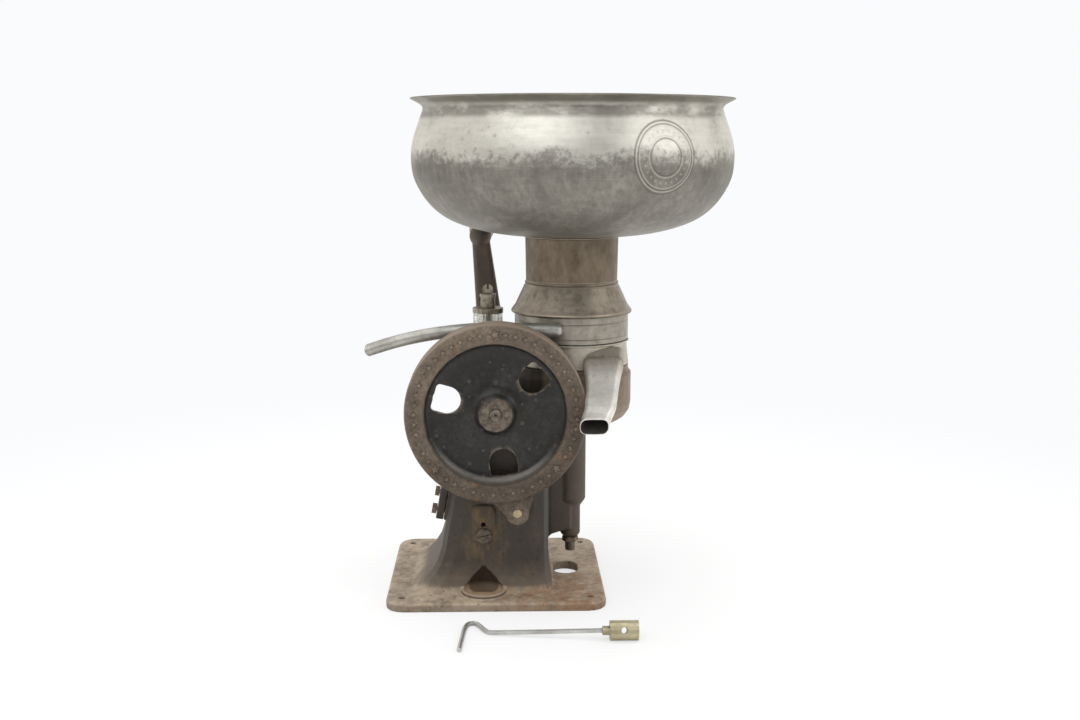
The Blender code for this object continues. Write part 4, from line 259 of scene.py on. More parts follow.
class Wire:
    # a shader socket, so that sums of masks read as sums
    def __init__(self, graph, socket):
        self.graph, self.socket = graph, socket

    def calc(self, kind, a, b=None, clamp=False):
        return self.graph.add("ShaderNodeMath", {"operation": kind, "use_clamp": clamp}, {0: a, 1: b})

    def __add__(self, other):
        return self.calc("ADD", self, other)

    def __radd__(self, other):
        return self.calc("ADD", other, self)

    def __sub__(self, other):
        return self.calc("SUBTRACT", self, other)

    def __rsub__(self, other):
        return self.calc("SUBTRACT", other, self)

    def __mul__(self, other):
        return self.calc("MULTIPLY", self, other)

    def __rmul__(self, other):
        return self.calc("MULTIPLY", other, self)

    def __truediv__(self, other):
        return self.calc("DIVIDE", self, other)

    def __neg__(self):
        return self.calc("MULTIPLY", self, -1)

    def highest(self, other):
        return self.calc("MAXIMUM", self, other)

    def root(self):
        return self.calc("SQRT", self)

    def size(self):
        return self.calc("ABSOLUTE", self)

    def held(self):
        return self.calc("ADD", self, 0, clamp=True)

    def rise(self, low, high):
        # 0 below low, 1 above high, softly between
        settings = {"interpolation_type": "SMOOTHSTEP", "clamp": True}
        values = {"Value": self, "From Min": low, "From Max": high, "To Min": 0, "To Max": 1}
        return self.graph.add("ShaderNodeMapRange", settings, values)

    def fall(self, low, high):
        return 1 - self.rise(low, high)

    def span(self, low, full, fading, gone):
        return self.rise(low, full) * self.fall(fading, gone)

    def band(self, middle, half, soft):
        return self.span(middle - half - soft, middle - half, middle + half, middle + half + soft)


class Graph:
    # the nodes of a material or of the world
    def __init__(self, owner):
        owner.use_nodes = True
        self.tree = owner.node_tree

    def feed(self, socket, value):
        if isinstance(value, Wire):
            self.tree.links.new(value.socket, socket)
        elif socket.type == "RGBA":
            socket.default_value = (*value, 1)
        else:
            socket.default_value = value

    def add(self, kind, settings, values, out=0):
        # one node with its settings, then the values or links of its sockets
        node = self.tree.nodes.new(kind)
        for key, value in settings.items():
            if key == "stops":
                ramp = node.color_ramp
                while len(ramp.elements) < len(value):
                    ramp.elements.new(0.5)
                for element, (at, colour) in zip(ramp.elements, value):
                    element.position = at
                    element.color = (*colour, 1)
            else:
                setattr(node, key, value)
        for key, value in values.items():
            if value is not None:
                self.feed(node.inputs[key], value)
        return node if out is None else Wire(self, node.outputs[out])

    def split(self, vector):
        return [Wire(self, part) for part in self.add("ShaderNodeSeparateXYZ", {}, {0: vector}, None).outputs]

    def mixed(self, output, share, first, second):
        # the output node shows the second shader by this share over the first
        mix = self.add("ShaderNodeMixShader", {}, {0: share, 1: first, 2: second})
        self.feed(self.tree.nodes[output].inputs["Surface"], mix)


class Look(Graph):
    # a material whose patterns follow the object's own coordinates
    def __init__(self, name):
        self.material = bpy.data.materials.new(name)
        super().__init__(self.material)
        self.shader = self.tree.nodes["Principled BSDF"]
        self.place = self.add("ShaderNodeTexCoord", {}, {}, "Object")
        self.x, self.y, self.z = self.split(self.place)
        self.ahead, self.upward = self.split(self.add("ShaderNodeNewGeometry", {}, {}, "Normal"))[1:]
        self.edges = self.add("ShaderNodeNewGeometry", {}, {}, "Pointiness")

    def spread(self, size, stretch, shift):
        # stretch above 1 draws the pattern out along that axis
        scale = tuple(1 / (size * s) for s in stretch)
        return self.add("ShaderNodeMapping", {}, {"Vector": self.place, "Location": shift, "Scale": scale})

    def noise(self, size, detail, rough, stretch=(1, 1, 1), shift=(0, 0, 0), twist=0.0):
        at = self.spread(size, stretch, shift)
        values = {"Vector": at, "Scale": 1, "Detail": detail, "Roughness": rough, "Distortion": twist}
        return self.add("ShaderNodeTexNoise", {}, values)

    def specks(self, size, share, soft, shift):
        # small separate spots: the share of cells that get one
        at = self.spread(size, (1, 1, 1), shift)
        cells = self.add("ShaderNodeTexVoronoi", {}, {"Vector": at, "Scale": 1, "Randomness": 1}, None)
        near = Wire(self, cells.outputs["Distance"])
        lot = self.add("ShaderNodeSeparateColor", {}, {0: Wire(self, cells.outputs["Color"])})
        reach = (share - lot).held() / share * 0.32
        return (near - reach).fall(0, soft)

    def blend(self, mask, below, above):
        return self.add("ShaderNodeMix", {"data_type": "RGBA"}, {"Factor": mask, 6: below, 7: above}, 2)

    def over(self, colour, *layers):
        # lays (mask, tone) layers over a colour, one after another
        for mask, tone in layers:
            colour = self.blend(mask, colour, tone)
        return colour

    def ramp(self, value, *stops):
        return self.add("ShaderNodeValToRGB", {"stops": stops}, {0: value})

    def bump(self, height, strength, distance):
        return self.add("ShaderNodeBump", {}, {"Height": height, "Strength": strength, "Distance": distance})

    def finish(self, **values):
        names = {
            "colour": "Base Color", "rough": "Roughness", "metal": "Metallic", "coat": "Coat Weight",
            "coatRough": "Coat Roughness", "normal": "Normal", "alpha": "Alpha", "ior": "IOR",
            "through": "Transmission Weight", "shine": "Specular IOR Level",
        }
        for key, value in values.items():
            self.feed(self.shader.inputs[names[key]], value)
        return self.material


def toned(colour, share, plus=0):
    return tuple(min(1, c * share + plus) for c in colour)


def agedIron(name, paint, brown, rust, rustShare, gloss, stains=None):
    # worn dark paint on a rough casting, browned and rusted in patches
    look = Look(name)
    broad = look.noise(0.045, 5, 0.6, shift=(0.3, 0.1, 0.7))
    fine = look.noise(0.007, 6, 0.65, shift=(1.1, 2.0, 0.4))
    grain = look.noise(0.0012, 3, 0.7)
    runs = look.noise(0.012, 4, 0.6, stretch=(1, 1, 6), shift=(4, 2, 1))
    browned = (broad * 0.55 + fine * 0.3 + runs * 0.25 - 0.08).rise(0.42, 0.66)
    rusted = (broad * 0.35 + fine * 0.45 + runs * 0.3).rise(0.72 - 0.2 * rustShare, 0.86 - 0.16 * rustShare)
    pits = look.specks(0.006, 0.35, 0.1, shift=(2, 1, 5))
    worn = look.edges.rise(0.515, 0.56) * fine.rise(0.35, 0.6)
    colour = look.over(
        look.blend(browned, paint, brown),
        (rusted * 0.75, rust),
        (pits * 0.5, toned(paint, 0.45)),
        (worn * 0.55, toned(brown, 2.4, 0.05)),
    )
    rough = gloss + rusted * 0.25 + fine * 0.15
    height = grain * 0.25 + fine * 0.7 + pits * -0.6 + look.noise(0.0035, 3, 0.5) * 0.5
    if stains:
        colour, rough, calm = stains(look, colour, rough, fine)
        height = height * calm
    return look.finish(colour=colour, rough=rough, metal=0.15, normal=look.bump(height, 0.55, 0.0007))


frameSpots = {"padX": -0.0128, "cupY": -0.0765}  # the middles of the drain pad and of the cup under it


def frameStains(look, colour, rough, fine):
    # worn pale paint and orange rust on the base plate, streaks on the drain pad, a brown coat on the pan
    x, y, z = look.x, look.y, look.z
    onPlate = (z.fall(0.0105, 0.022) * look.upward.rise(0.15, 0.7)).highest(z.fall(0.0088, 0.0098))
    soft = look.noise(0.03, 5, 0.6, shift=(6, 1, 4))
    plateTone = look.ramp(
        soft * 0.55 + fine * 0.45,
        (0.34, (0.13, 0.1, 0.074)),
        (0.44, (0.25, 0.2, 0.15)),
        (0.55, (0.395, 0.322, 0.238)),
        (0.68, (0.49, 0.405, 0.3)),
    )
    plateTone = look.blend(look.upward.fall(0.1, 0.5) * 0.45, plateTone, (0.15, 0.12, 0.095))
    rightFront = x.rise(-0.03, 0.06) * y.fall(-0.05, 0.03)
    spots = look.noise(0.0032, 6, 0.72, shift=(8, 3, 2)).rise(0.5, 0.6)
    patches = look.noise(0.02, 5, 0.65, shift=(3, 9, 2)).rise(0.42, 0.6)
    orange = onPlate * rightFront * (spots * 0.6 + patches * 0.5).held()
    loose = onPlate * look.noise(0.007, 6, 0.7, shift=(5, 5, 1)).rise(0.6, 0.68)
    dark = onPlate * look.specks(0.006, 0.3, 0.08, shift=(7, 1, 2))
    colour = look.over(
        colour,
        (onPlate, plateTone),
        (orange * 0.8, (0.33, 0.135, 0.042)),
        (onPlate * rightFront * patches * 0.35, (0.12, 0.07, 0.04)),
        (loose * 0.55, (0.23, 0.12, 0.055)),
        (dark * 0.5, (0.085, 0.06, 0.042)),
    )

    # oil from the drain, and the housing's pale foot
    beside = x - frameSpots["padX"]
    aside = beside * beside
    streak = look.noise(0.0045, 5, 0.65, stretch=(1, 1, 3.5), shift=(3, 3, 3)).rise(0.42, 0.66)
    front = y.fall(-0.064, -0.058) * (1 - onPlate)
    onPad = aside.fall(0.0001, 0.00016) * front * z.span(0.05, 0.062, 0.094, 0.1)
    byPad = aside.fall(0.00016, 0.0007) * front * z.span(0.03, 0.052, 0.088, 0.108)
    mottle = look.noise(0.011, 5, 0.65, shift=(1, 7, 7)).rise(0.48, 0.66)
    foot = z.span(0.0095, 0.014, 0.018, 0.055) * mottle
    flare = z.fall(0.014, 0.044) * (1 - onPlate) * (0.55 + fine * 0.6).held()
    colour = look.over(
        colour,
        (onPad * (0.3 + streak * 0.45), (0.125, 0.078, 0.034)),
        (byPad * streak * 0.5, (0.15, 0.092, 0.03)),
        (foot * (1 - onPlate) * 0.5, (0.15, 0.092, 0.048)),
        (flare * 0.75, (0.135, 0.106, 0.08)),
    )

    # drip cup with its niche painted dark as shade, pan and column
    ahead = y - frameSpots["cupY"]
    inCup = aside + ahead * ahead
    cupRim = inCup.band(0.000445, 0.000075, 0.00003) * z.span(0.0112, 0.0124, 0.015, 0.016)
    cupFloor = inCup.fall(0.00034, 0.00038) * z.fall(0.0125, 0.0135)
    # painted shade: the recess behind the cup is painted near black
    niche = beside.size().fall(0.0135, 0.0165) * y.span(-0.069, -0.066, -0.05, -0.046) * z.fall(0.034, 0.038)
    pan = x.rise(0.044, 0.05) * z.rise(0.158, 0.17)
    panTone = look.ramp(
        look.noise(0.03, 5, 0.6, shift=(2, 2, 9)) * 0.6 + fine * 0.4,
        (0.3, (0.105, 0.074, 0.05)),
        (0.5, (0.205, 0.152, 0.11)),
        (0.72, (0.275, 0.215, 0.162)),
    )
    column = x.rise(0.056, 0.06) * z.span(0.04, 0.05, 0.15, 0.166)
    colour = look.over(
        colour,
        (cupRim * (0.55 + fine * 0.5).held(), (0.36, 0.275, 0.195)),
        (cupFloor * 0.9, (0.46, 0.32, 0.205)),
        (niche * 0.7, (0.042, 0.028, 0.019)),
        (pan * 0.9, panTone),
        (column * 0.6, (0.098, 0.076, 0.058)),
    )
    return colour, rough + onPlate * 0.1 - pan * 0.1, 1 - onPlate * 0.62 - pan * 0.25


def agedTin(name, light, dark, brown, dirt, gloss, marks=None, stainAndShadeAt=None):
    # tinned sheet with fine lines round it, dulled and stained; below a given height the tin is painted dark,
    # partly a real stain and partly painted shade of the lower half
    look = Look(name)
    lines = look.noise(0.0011, 3, 0.6, stretch=(60, 60, 1))
    wide = look.noise(0.0045, 4, 0.6, stretch=(12, 12, 1), shift=(2, 1, 3))
    cloud = look.noise(0.05, 5, 0.62, shift=(7, 1, 2), twist=0.4)
    fine = look.noise(0.0065, 6, 0.7, shift=(3, 4, 1))
    grit = look.noise(0.0016, 4, 0.7, shift=(9, 1, 1))
    dulled = (cloud * 0.6 + fine * 0.25 + wide * 0.3 - 0.1).rise(0.32, 0.68)
    base = look.blend(dulled, light, toned(light, 0.72))
    grime = cloud * 0.5 + fine * 0.5
    if stainAndShadeAt is not None:
        swell = look.noise(0.04, 5, 0.65, stretch=(1.5, 1.5, 0.8), shift=(5, 2, 8))
        level = look.z - (swell * 0.03 + fine * 0.014) + grit * 0.008
        # below a wavy level the tin is painted dark: partly a real stain, partly painted shade of the tank's
        # lower half
        below = level.fall(stainAndShadeAt - 0.032, stainAndShadeAt - 0.011)
        drips = look.noise(0.006, 5, 0.65, stretch=(1, 1, 7), shift=(6, 2, 3))
        tone = look.ramp(
            cloud * 0.5 + fine * 0.28 + drips * 0.22,
            *((at, toned(dark, share)) for at, share in ((0.4, 0.8), (0.48, 1.25), (0.56, 2.0), (0.65, 3.0))),
        )
        tide = level.band(stainAndShadeAt - 0.022, 0.003, 0.006) * fine.rise(0.42, 0.6)
        base = look.over(base, (below * 0.9, tone), (tide * 0.35, toned(dark, 0.8)))
    else:
        below = grime.rise(0.42, 0.7) * dirt
        base = look.blend(below, base, dark)
    spots = look.specks(0.006, 0.16, 0.14, shift=(1, 5, 2)) * grime.rise(0.42, 0.62)
    rusty = (fine * 0.6 + cloud * 0.5).rise(0.64, 0.74) * dirt
    scratch = look.noise(0.0007, 1, 0.5, stretch=(90, 90, 1), shift=(4, 4, 4)).rise(0.66, 0.72)
    base = look.over(
        base,
        (spots * 0.35, toned(dark, 0.5)),
        (rusty * 0.6, brown),
        (scratch * 0.05, toned(light, 1.25)),
    )
    rough = gloss + below * 0.03 + fine * 0.14 + grit * 0.05
    height = lines * 0.35 + fine * 0.35 + grit * 0.3 + wide * 0.3
    if marks:
        base, height = marks(look, base, height)
    normal = look.bump(height, 0.32, 0.00035)
    return look.finish(colour=base, rough=rough, metal=0.8 - below * 0.14, normal=normal)


tankMark = {"middle": (0.1548, -0.1392, 0.4455), "across": (0.88, 0.475)}  # and how it faces, seen from above


def tankMarks(look, base, height):
    # a pressed round mark with plain rings, painted shadow along their edges and small beads towards the
    # front right, and a dark rim
    x, y, z = look.x, look.y, look.z
    middleX, middleY, middleZ = tankMark["middle"]
    across = (x - middleX) * tankMark["across"][0] + (y - middleY) * tankMark["across"][1]
    tall = z - middleZ
    far = (across * across + tall * tall).root()
    front = y.fall(-0.06, -0.05)
    rings = far.band(0.0318, 0.0007, 0.0006) + far.band(0.0287, 0.0004, 0.0005)
    rings = rings + far.band(0.0185, 0.0006, 0.0006)
    turn = tall.calc("ARCTAN2", tall, across) * 24
    beads = turn.calc("SINE", turn).rise(0.35, 0.8) * far.band(0.0236, 0.001, 0.0005) * front
    pressed = (rings * front + beads * 0.8).held()
    # painted shadow: dark lines along the edges of the pressed rings
    edge = far.band(0.0333, 0.0006, 0.0007) + far.band(0.0302, 0.0004, 0.0005)
    edge = edge + far.band(0.017, 0.0005, 0.0006)
    grey = look.noise(0.014, 5, 0.65, stretch=(2.5, 2.5, 1), shift=(2, 8, 5))
    rim = z.rise(0.488, 0.4985) * (0.45 + grey * 0.7).held()
    collar = z.band(0.488, 0.003, 0.006) * grey.rise(0.32, 0.58)
    foot = z.fall(0.3665, 0.374)
    base = look.over(
        base,
        (pressed * 0.35, (0.56, 0.535, 0.475)),
        (edge * front * 0.5, (0.085, 0.078, 0.066)),
        (rim, (0.145, 0.134, 0.11)),
        (collar * 0.62, (0.115, 0.104, 0.086)),
        (foot * 0.35, (0.15, 0.14, 0.118)),
    )
    return base, height + pressed * 3.6


def chamberMarks(look, base, height):
    # the neck has gone browner than the cone, with darker patches and a rusty seam
    z = look.z
    patch = look.noise(0.012, 6, 0.68, stretch=(1, 1, 1.8), shift=(9, 4, 2))
    brown = look.ramp(
        patch,
        (0.36, (0.06, 0.043, 0.028)),
        (0.5, (0.115, 0.085, 0.056)),
        (0.64, (0.17, 0.135, 0.098)),
    )
    beads = z.band(0.3183, 0.0009, 0.0008) + z.band(0.315, 0.0005, 0.0006)
    beads = beads + z.band(0.2884, 0.001, 0.001) + z.rise(0.3628, 0.3634)
    seams = z.band(0.3166, 0.0005, 0.0007) + z.band(0.2866, 0.0006, 0.0008)
    base = look.over(
        base,
        (z.rise(0.315, 0.3175) * 0.78, brown),
        (z.fall(0.314, 0.316) * patch.rise(0.5, 0.6) * 0.45, (0.13, 0.105, 0.08)),
        (beads.held() * (0.35 + patch * 0.5), (0.33, 0.29, 0.235)),
        (seams.held() * 0.6, (0.075, 0.054, 0.036)),
    )
    return base, height


def spoutMarks(look, base, height):
    # solder and old milk where the spout leaves the cover
    root = look.y.rise(-0.082, -0.062)
    patch = look.noise(0.008, 6, 0.68, shift=(2, 6, 3))
    solder = look.y.band(-0.0615, 0.0012, 0.0014) * patch.rise(0.35, 0.6)
    base = look.over(
        base,
        (root * (0.25 + patch * 0.9).held(), (0.3, 0.262, 0.205)),
        (solder * 0.5, (0.13, 0.108, 0.082)),
    )
    return base, height + patch * root * 0.6


def plainMetal(name, colour, rough, metal, tone, size, depth, dirtColour, dirt):
    # bare metal with softer patches, dirt and rubbed edges
    look = Look(name)
    cloud = look.noise(size * 3, 5, 0.6, shift=(1, 2, 3))
    fine = look.noise(size, 6, 0.65, shift=(4, 1, 6))
    grit = look.noise(size * 0.15, 3, 0.6)
    shade = look.blend((cloud * 0.6 + fine * 0.4).rise(0.35, 0.65), colour, toned(colour, tone))
    shade = look.blend((fine * 0.6 + cloud * 0.5).rise(0.48, 0.66) * dirt, shade, dirtColour)
    worn = look.edges.rise(0.52, 0.57)
    shade = look.blend(worn * 0.3, shade, toned(colour, 1.35))
    normal = look.bump(fine * 0.6 + grit * 0.4, depth, 0.0003)
    return look.finish(colour=shade, rough=rough + fine * 0.18, metal=metal, normal=normal)


def turnedSteel(name, colour, rough):
    # fine tool lines round and along, as a lathe leaves
    look = Look(name)
    fine = look.noise(0.005, 5, 0.6, shift=(2, 4, 6))
    lines = look.noise(0.0006, 2, 0.5, stretch=(20, 20, 1))
    shade = look.blend(fine.rise(0.35, 0.65), colour, toned(colour, 0.7))
    normal = look.bump(lines + fine, 0.2, 0.0002)
    return look.finish(colour=shade, rough=rough + fine * 0.15, metal=0.95, normal=normal)


def gripWood(name):
    look = Look(name)
    grain = look.noise(0.0022, 6, 0.6, stretch=(1, 14, 1), twist=0.5)
    flow = look.noise(0.012, 4, 0.6, stretch=(1, 5, 1), shift=(1, 3, 2), twist=1.2)
    pores = look.noise(0.0007, 2, 0.5, stretch=(1, 16, 1), shift=(5, 5, 5)).rise(0.6, 0.68)
    shade = look.ramp(
        grain * 0.55 + flow * 0.5,
        (0.3, (0.05, 0.02, 0.01)),
        (0.5, (0.115, 0.046, 0.022)),
        (0.7, (0.205, 0.092, 0.045)),
    )
    shade = look.blend(pores * 0.6, shade, (0.028, 0.012, 0.007))
    rubbedAndSheen = look.noise(0.02, 4, 0.6, shift=(8, 1, 4)).rise(0.55, 0.7)
    shade = look.blend(rubbedAndSheen * 0.3, shade, (0.26, 0.14, 0.08))
    normal = look.bump(grain * 0.5 + pores * -0.8, 0.3, 0.0003)
    rough = 0.42 + rubbedAndSheen * 0.15 + pores * 0.1
    return look.finish(colour=shade, rough=rough, coat=0.2, coatRough=0.3, normal=normal)


def oldGlass(name):
    look = Look(name)
    haze = look.noise(0.006, 5, 0.6, stretch=(1, 1, 2)).rise(0.4, 0.75)
    colour = look.blend(haze * 0.5, (0.93, 0.95, 0.93), (0.62, 0.58, 0.46))
    rough, alpha = 0.04 + haze * 0.18, 0.55 + haze * 0.25
    return look.finish(colour=colour, rough=rough, through=0.9, ior=1.46, alpha=alpha)


def blackRubber(name):
    look = Look(name)
    grain = look.noise(0.0012, 4, 0.6)
    shade = look.blend(grain.rise(0.4, 0.7), (0.022, 0.021, 0.02), (0.045, 0.043, 0.04))
    return look.finish(colour=shade, rough=0.75, normal=look.bump(grain, 0.3, 0.0003))


def coverIron(name, lift):
    # blue-black enamel in the dish, brown rusted ring round it and mottled hub;
    # the raised marks have lift above 1, which lightens all their colours: partly wear, partly a painted
    # highlight
    look = Look(name)
    x, y, z = look.x, look.y, look.z
    tall = z - axes["crankHeight"]
    far = (x * x + tall * tall).root()
    broad = look.noise(0.04, 5, 0.6, shift=(3, 3, 1))
    fine = look.noise(0.0055, 6, 0.68, shift=(1, 2, 8))
    grit = look.noise(0.0013, 4, 0.7)
    mottle = look.noise(0.0028, 5, 0.7, shift=(6, 6, 2))
    pitted = look.noise(0.0042, 6, 0.72, shift=(2, 9, 4)).rise(0.54, 0.62)
    # painted highlight: the ring's rounded front edge is painted light, most towards the top
    shoulderHighlight = y.rise(axes["coverFront"] + 0.0004, axes["coverFront"] + 0.0024) * (0.35 + tall * 6).held()
    # painted light and shade: the ring's tone runs lighter towards the top and darker towards the right
    ring = look.ramp(
        broad * 0.4 + fine * 0.32 + mottle * 0.28 + tall * 0.7 - x * 0.35,
        (0.34, toned((0.036, 0.027, 0.02), lift)),
        (0.46, toned((0.082, 0.062, 0.045), lift)),
        (0.56, toned((0.138, 0.107, 0.08), lift)),
        (0.68, toned((0.225, 0.18, 0.137), lift)),
    )
    ring = look.over(ring, (pitted * 0.55, (0.07, 0.05, 0.035)), (shoulderHighlight * 0.9, (0.35, 0.282, 0.22)))

    worn = (fine * 0.5 + broad * 0.5).rise(0.58, 0.7)
    chips = look.specks(0.0065, 0.32, 0.1, shift=(4, 1, 1))
    # painted reflection: the dish's upturned lower fillet is painted bright where it would reflect the light
    # from above
    rubbedAndSheen = far.band(0.068, 0.0022, 0.0028) * (-tall).rise(0.024, 0.06) * (0.45 + fine * 0.9).held()
    enamel = look.over(
        (0.0085, 0.0082, 0.008),
        ((broad * 0.5 + fine * 0.5).rise(0.42, 0.66), (0.026, 0.025, 0.024)),
        (worn * 0.35, (0.07, 0.062, 0.055)),
        (chips * 0.4, (0.1, 0.082, 0.064)),
        (rubbedAndSheen * 0.75, (0.15, 0.138, 0.125)),  # painted reflection along the dish's lower edge
    )
    flecks = look.noise(0.0036, 5, 0.7, shift=(3, 7, 1)).rise(0.58, 0.66)
    hubTone = look.over(
        (0.046, 0.036, 0.029),
        (fine.rise(0.4, 0.62), (0.105, 0.084, 0.064)),
        (flecks * 0.6, (0.23, 0.185, 0.125)),
    )
    inDish = (far + fine * 0.0016).fall(0.0695, 0.0722) * y.fall(-0.082, -0.08)
    hub = (far + fine * 0.0014).fall(0.0172, 0.0186) * y.fall(-0.088, -0.086)
    rusted = look.noise(0.01, 6, 0.7, shift=(7, 2, 5)).rise(0.57, 0.68) * (1 - inDish)
    edge = look.edges.rise(0.515, 0.56) * fine.rise(0.3, 0.6)
    colour = look.over(
        ring,
        (inDish, enamel),
        (hub, hubTone),
        (rusted * 0.5, (0.19, 0.09, 0.04)),
        (edge * 0.5, (0.24, 0.19, 0.145)),
    )
    if lift > 1:
        shadedSides = (look.ahead + 1).rise(0.04, 0.2)  # painted shade on the sides of the raised marks
        colour = look.blend(shadedSides * 0.75, colour, (0.04, 0.03, 0.023))
    rough = 0.6 - inDish * 0.32 + fine * 0.16 + worn * inDish * 0.15
    height = fine * 0.7 * (1 - inDish * 0.6) + grit * 0.35
    height = height + mottle * 0.45 * (1 - inDish * 0.7) + chips * -0.5 * inDish
    normal = look.bump(height, 0.5, 0.0006)
    return look.finish(colour=colour, rough=rough, metal=0.12 + inDish * 0.22, normal=normal)


# name, paint, brown, rust, share of rust, roughness and the stains that one piece alone has
irons = {
    "frame": (
        "agedFrameIron", (0.036, 0.029, 0.023), (0.08, 0.058, 0.04), (0.125, 0.072, 0.034), 0.45, 0.5,
        frameStains,
    ),
    "sideCover": (
        "agedSideIron", (0.045, 0.036, 0.029), (0.085, 0.062, 0.044), (0.125, 0.07, 0.034), 0.5, 0.55,
    ),
    "bolt": ("rustedBolt", (0.07, 0.048, 0.034), (0.11, 0.07, 0.045), (0.19, 0.09, 0.038), 0.8, 0.55),
    "drainPlug": (
        "drainPlugIron", (0.028, 0.021, 0.016), (0.052, 0.037, 0.025), (0.12, 0.066, 0.028), 0.6, 0.55,
    ),
    "crank": ("agedCrankIron", (0.088, 0.07, 0.055), (0.15, 0.116, 0.086), (0.16, 0.105, 0.062), 0.35, 0.44),
    "gear": ("gearIron", (0.06, 0.054, 0.05), (0.085, 0.07, 0.055), (0.11, 0.075, 0.045), 0.3, 0.4),
    "shaftEnd": ("shaftEndIron", (0.055, 0.044, 0.036), (0.09, 0.07, 0.055), (0.14, 0.09, 0.055), 0.4, 0.4),
}
# name, clean tin, dulled tin, rust, dirt, roughness, marks and the height below which the tin is painted
# dark, partly a stain and partly painted shade
tins = {
    "tank": (
        "tankTin", (0.665, 0.652, 0.6), (0.094, 0.089, 0.078), (0.2, 0.13, 0.07), 0.5, 0.34,
        tankMarks, 0.4475,
    ),
    "chamber": (
        "chamberTin", (0.33, 0.29, 0.235), (0.165, 0.135, 0.102), (0.16, 0.1, 0.055), 0.7, 0.29, chamberMarks,
    ),
    "cream": ("creamTin", (0.375, 0.352, 0.308), (0.16, 0.143, 0.118), (0.23, 0.14, 0.07), 0.55, 0.3),
    "skim": ("skimTin", (0.53, 0.5, 0.435), (0.27, 0.225, 0.17), (0.24, 0.15, 0.08), 0.55, 0.34),
    "spout": ("spoutTin", (0.79, 0.78, 0.745), (0.42, 0.41, 0.38), (0.25, 0.19, 0.12), 0.3, 0.4, spoutMarks),
    # the spouts' insides are painted near black: painted shade inside the tubes
    "spoutInside": (
        "spoutInsideGrime", (0.09, 0.084, 0.076), (0.04, 0.036, 0.031), (0.06, 0.04, 0.025), 0.8, 0.6,
    ),
    "pipe": ("pipeTin", (0.43, 0.425, 0.4), (0.165, 0.155, 0.135), (0.2, 0.15, 0.09), 0.5, 0.33),
    "innerTin": ("innerTin", (0.5, 0.48, 0.43), (0.26, 0.24, 0.2), (0.22, 0.14, 0.08), 0.3, 0.34),
}
# name, colour, roughness, metal, tone of the patches, their size, relief, dirt's colour, dirt
metals = {
    "screw": ("wornScrew", (0.15, 0.13, 0.105), 0.45, 0.7, 0.6, 0.003, 0.4, (0.09, 0.055, 0.03), 0.6),
    "lugScrew": ("lugScrewBrass", (0.42, 0.34, 0.22), 0.42, 0.7, 0.7, 0.003, 0.35, (0.16, 0.11, 0.065), 0.5),
    "rod": ("rodSteel", (0.54, 0.54, 0.53), 0.34, 0.9, 0.72, 0.006, 0.25, (0.2, 0.15, 0.105), 0.22),
    "plug": ("plugBrass", (0.47, 0.43, 0.29), 0.36, 0.75, 0.72, 0.006, 0.3, (0.2, 0.17, 0.095), 0.35),
    "brass": ("dullBrass", (0.43, 0.35, 0.19), 0.38, 0.85, 0.7, 0.005, 0.3, (0.15, 0.11, 0.055), 0.4),
    "bronze": ("bearingBronze", (0.27, 0.18, 0.1), 0.42, 0.8, 0.6, 0.005, 0.35, (0.085, 0.062, 0.042), 0.8),
    "nickel": ("agedNickel", (0.33, 0.3, 0.24), 0.28, 0.9, 0.55, 0.004, 0.35, (0.105, 0.078, 0.048), 0.55),
}
finishes = {
    "cover": coverIron("coverIron", 1),
    # the stars and studs are lighter copies of the cover's finish: partly wear, partly a painted highlight
    "star": coverIron("wornHighlitStarIron", 1.4),
    "stud": coverIron("wornHighlitStudIron", 1.25),
    "bowl": turnedSteel("bowlSteel", (0.52, 0.51, 0.49), 0.28),
    "steel": turnedSteel("shaftSteel", (0.38, 0.37, 0.36), 0.34),
    "wood": gripWood("gripWood"),
    "glass": oldGlass("oilerGlass"),
    "rubber": blackRubber("sealRubber"),
}
for make, table in ((agedIron, irons), (agedTin, tins), (plainMetal, metals)):
    for key, values in table.items():
        finishes[key] = make(*values)
print("finishes made:", len(finishes))

# every CAD node gets its look, and the ones that show most are stood for by finer pieces below
nodeLooks = {
    "frame_casting": "frame", "side_cover": "sideCover", "drain_plug": "drainPlug", "gear_cover": "cover",
    "gear_cover_screw": "lugScrew", "crankshaft": "shaftEnd", "crank_gear": "gear", "pinion": "steel",
    "layshaft": "steel", "worm_wheel": "bronze", "spindle": "steel", "crank_arm": "crank",
    "crank_pin": "steel", "grip_pin": "steel", "crank_grip": "wood", "oiler_holder": "nickel",
    "oiler_cap": "nickel", "oiler_needle_key": "nickel", "oiler_glass": "glass", "adjusting_screw": "screw",
    "lock_nut": "bolt",
    "bowl_body": "bowl", "bowl_hood": "bowl", "bowl_nut": "brass", "bowl_seal": "rubber",
    "distributor": "innerTin", "skim_cover": "skim", "skim_spout": "spout", "cream_cover": "cream",
    "cream_spout": "pipe", "regulating_cover": "chamber", "float": "innerTin", "tank": "tank",
    "tank_outlet": "brass", "tap_plug": "plug", "tap_rod": "rod",
}
wordLooks = {"bolt": "bolt", "bush": "bronze", "ball": "steel"}  # for the rest, by a word in the node's name
for name, node in nodes.items():
    byWord = [kind for word, kind in wordLooks.items() if word in name]
    kind = nodeLooks.get(name) or (byWord + ["innerTin"])[0]
    node.data.materials.clear()
    node.data.materials.append(finishes[kind])
    softShade(node, 30)
print("CAD nodes dressed")

# body, finish, voxel size, rounds of smoothing, share of the faces kept, and shading angle
castings = {
    "frame_casting": ("frame", "frame", 0.001, 3, 0.24, 50),
    "crank_arm": ("crank", "crank", 0.0008, 5, 0.6, 60),
    "side_cover": ("frame", "sideCover", 0.0008, 3, 0.6, 50),
}
for name, (body, look, voxel, rounds, keep, shade) in castings.items():
    skin = castSkin(name, voxel, rounds, keep)
    hand(skin, body, finishes[look], [name], shade)
    print(name, "rounded:", len(skin.data.polygons), "faces")

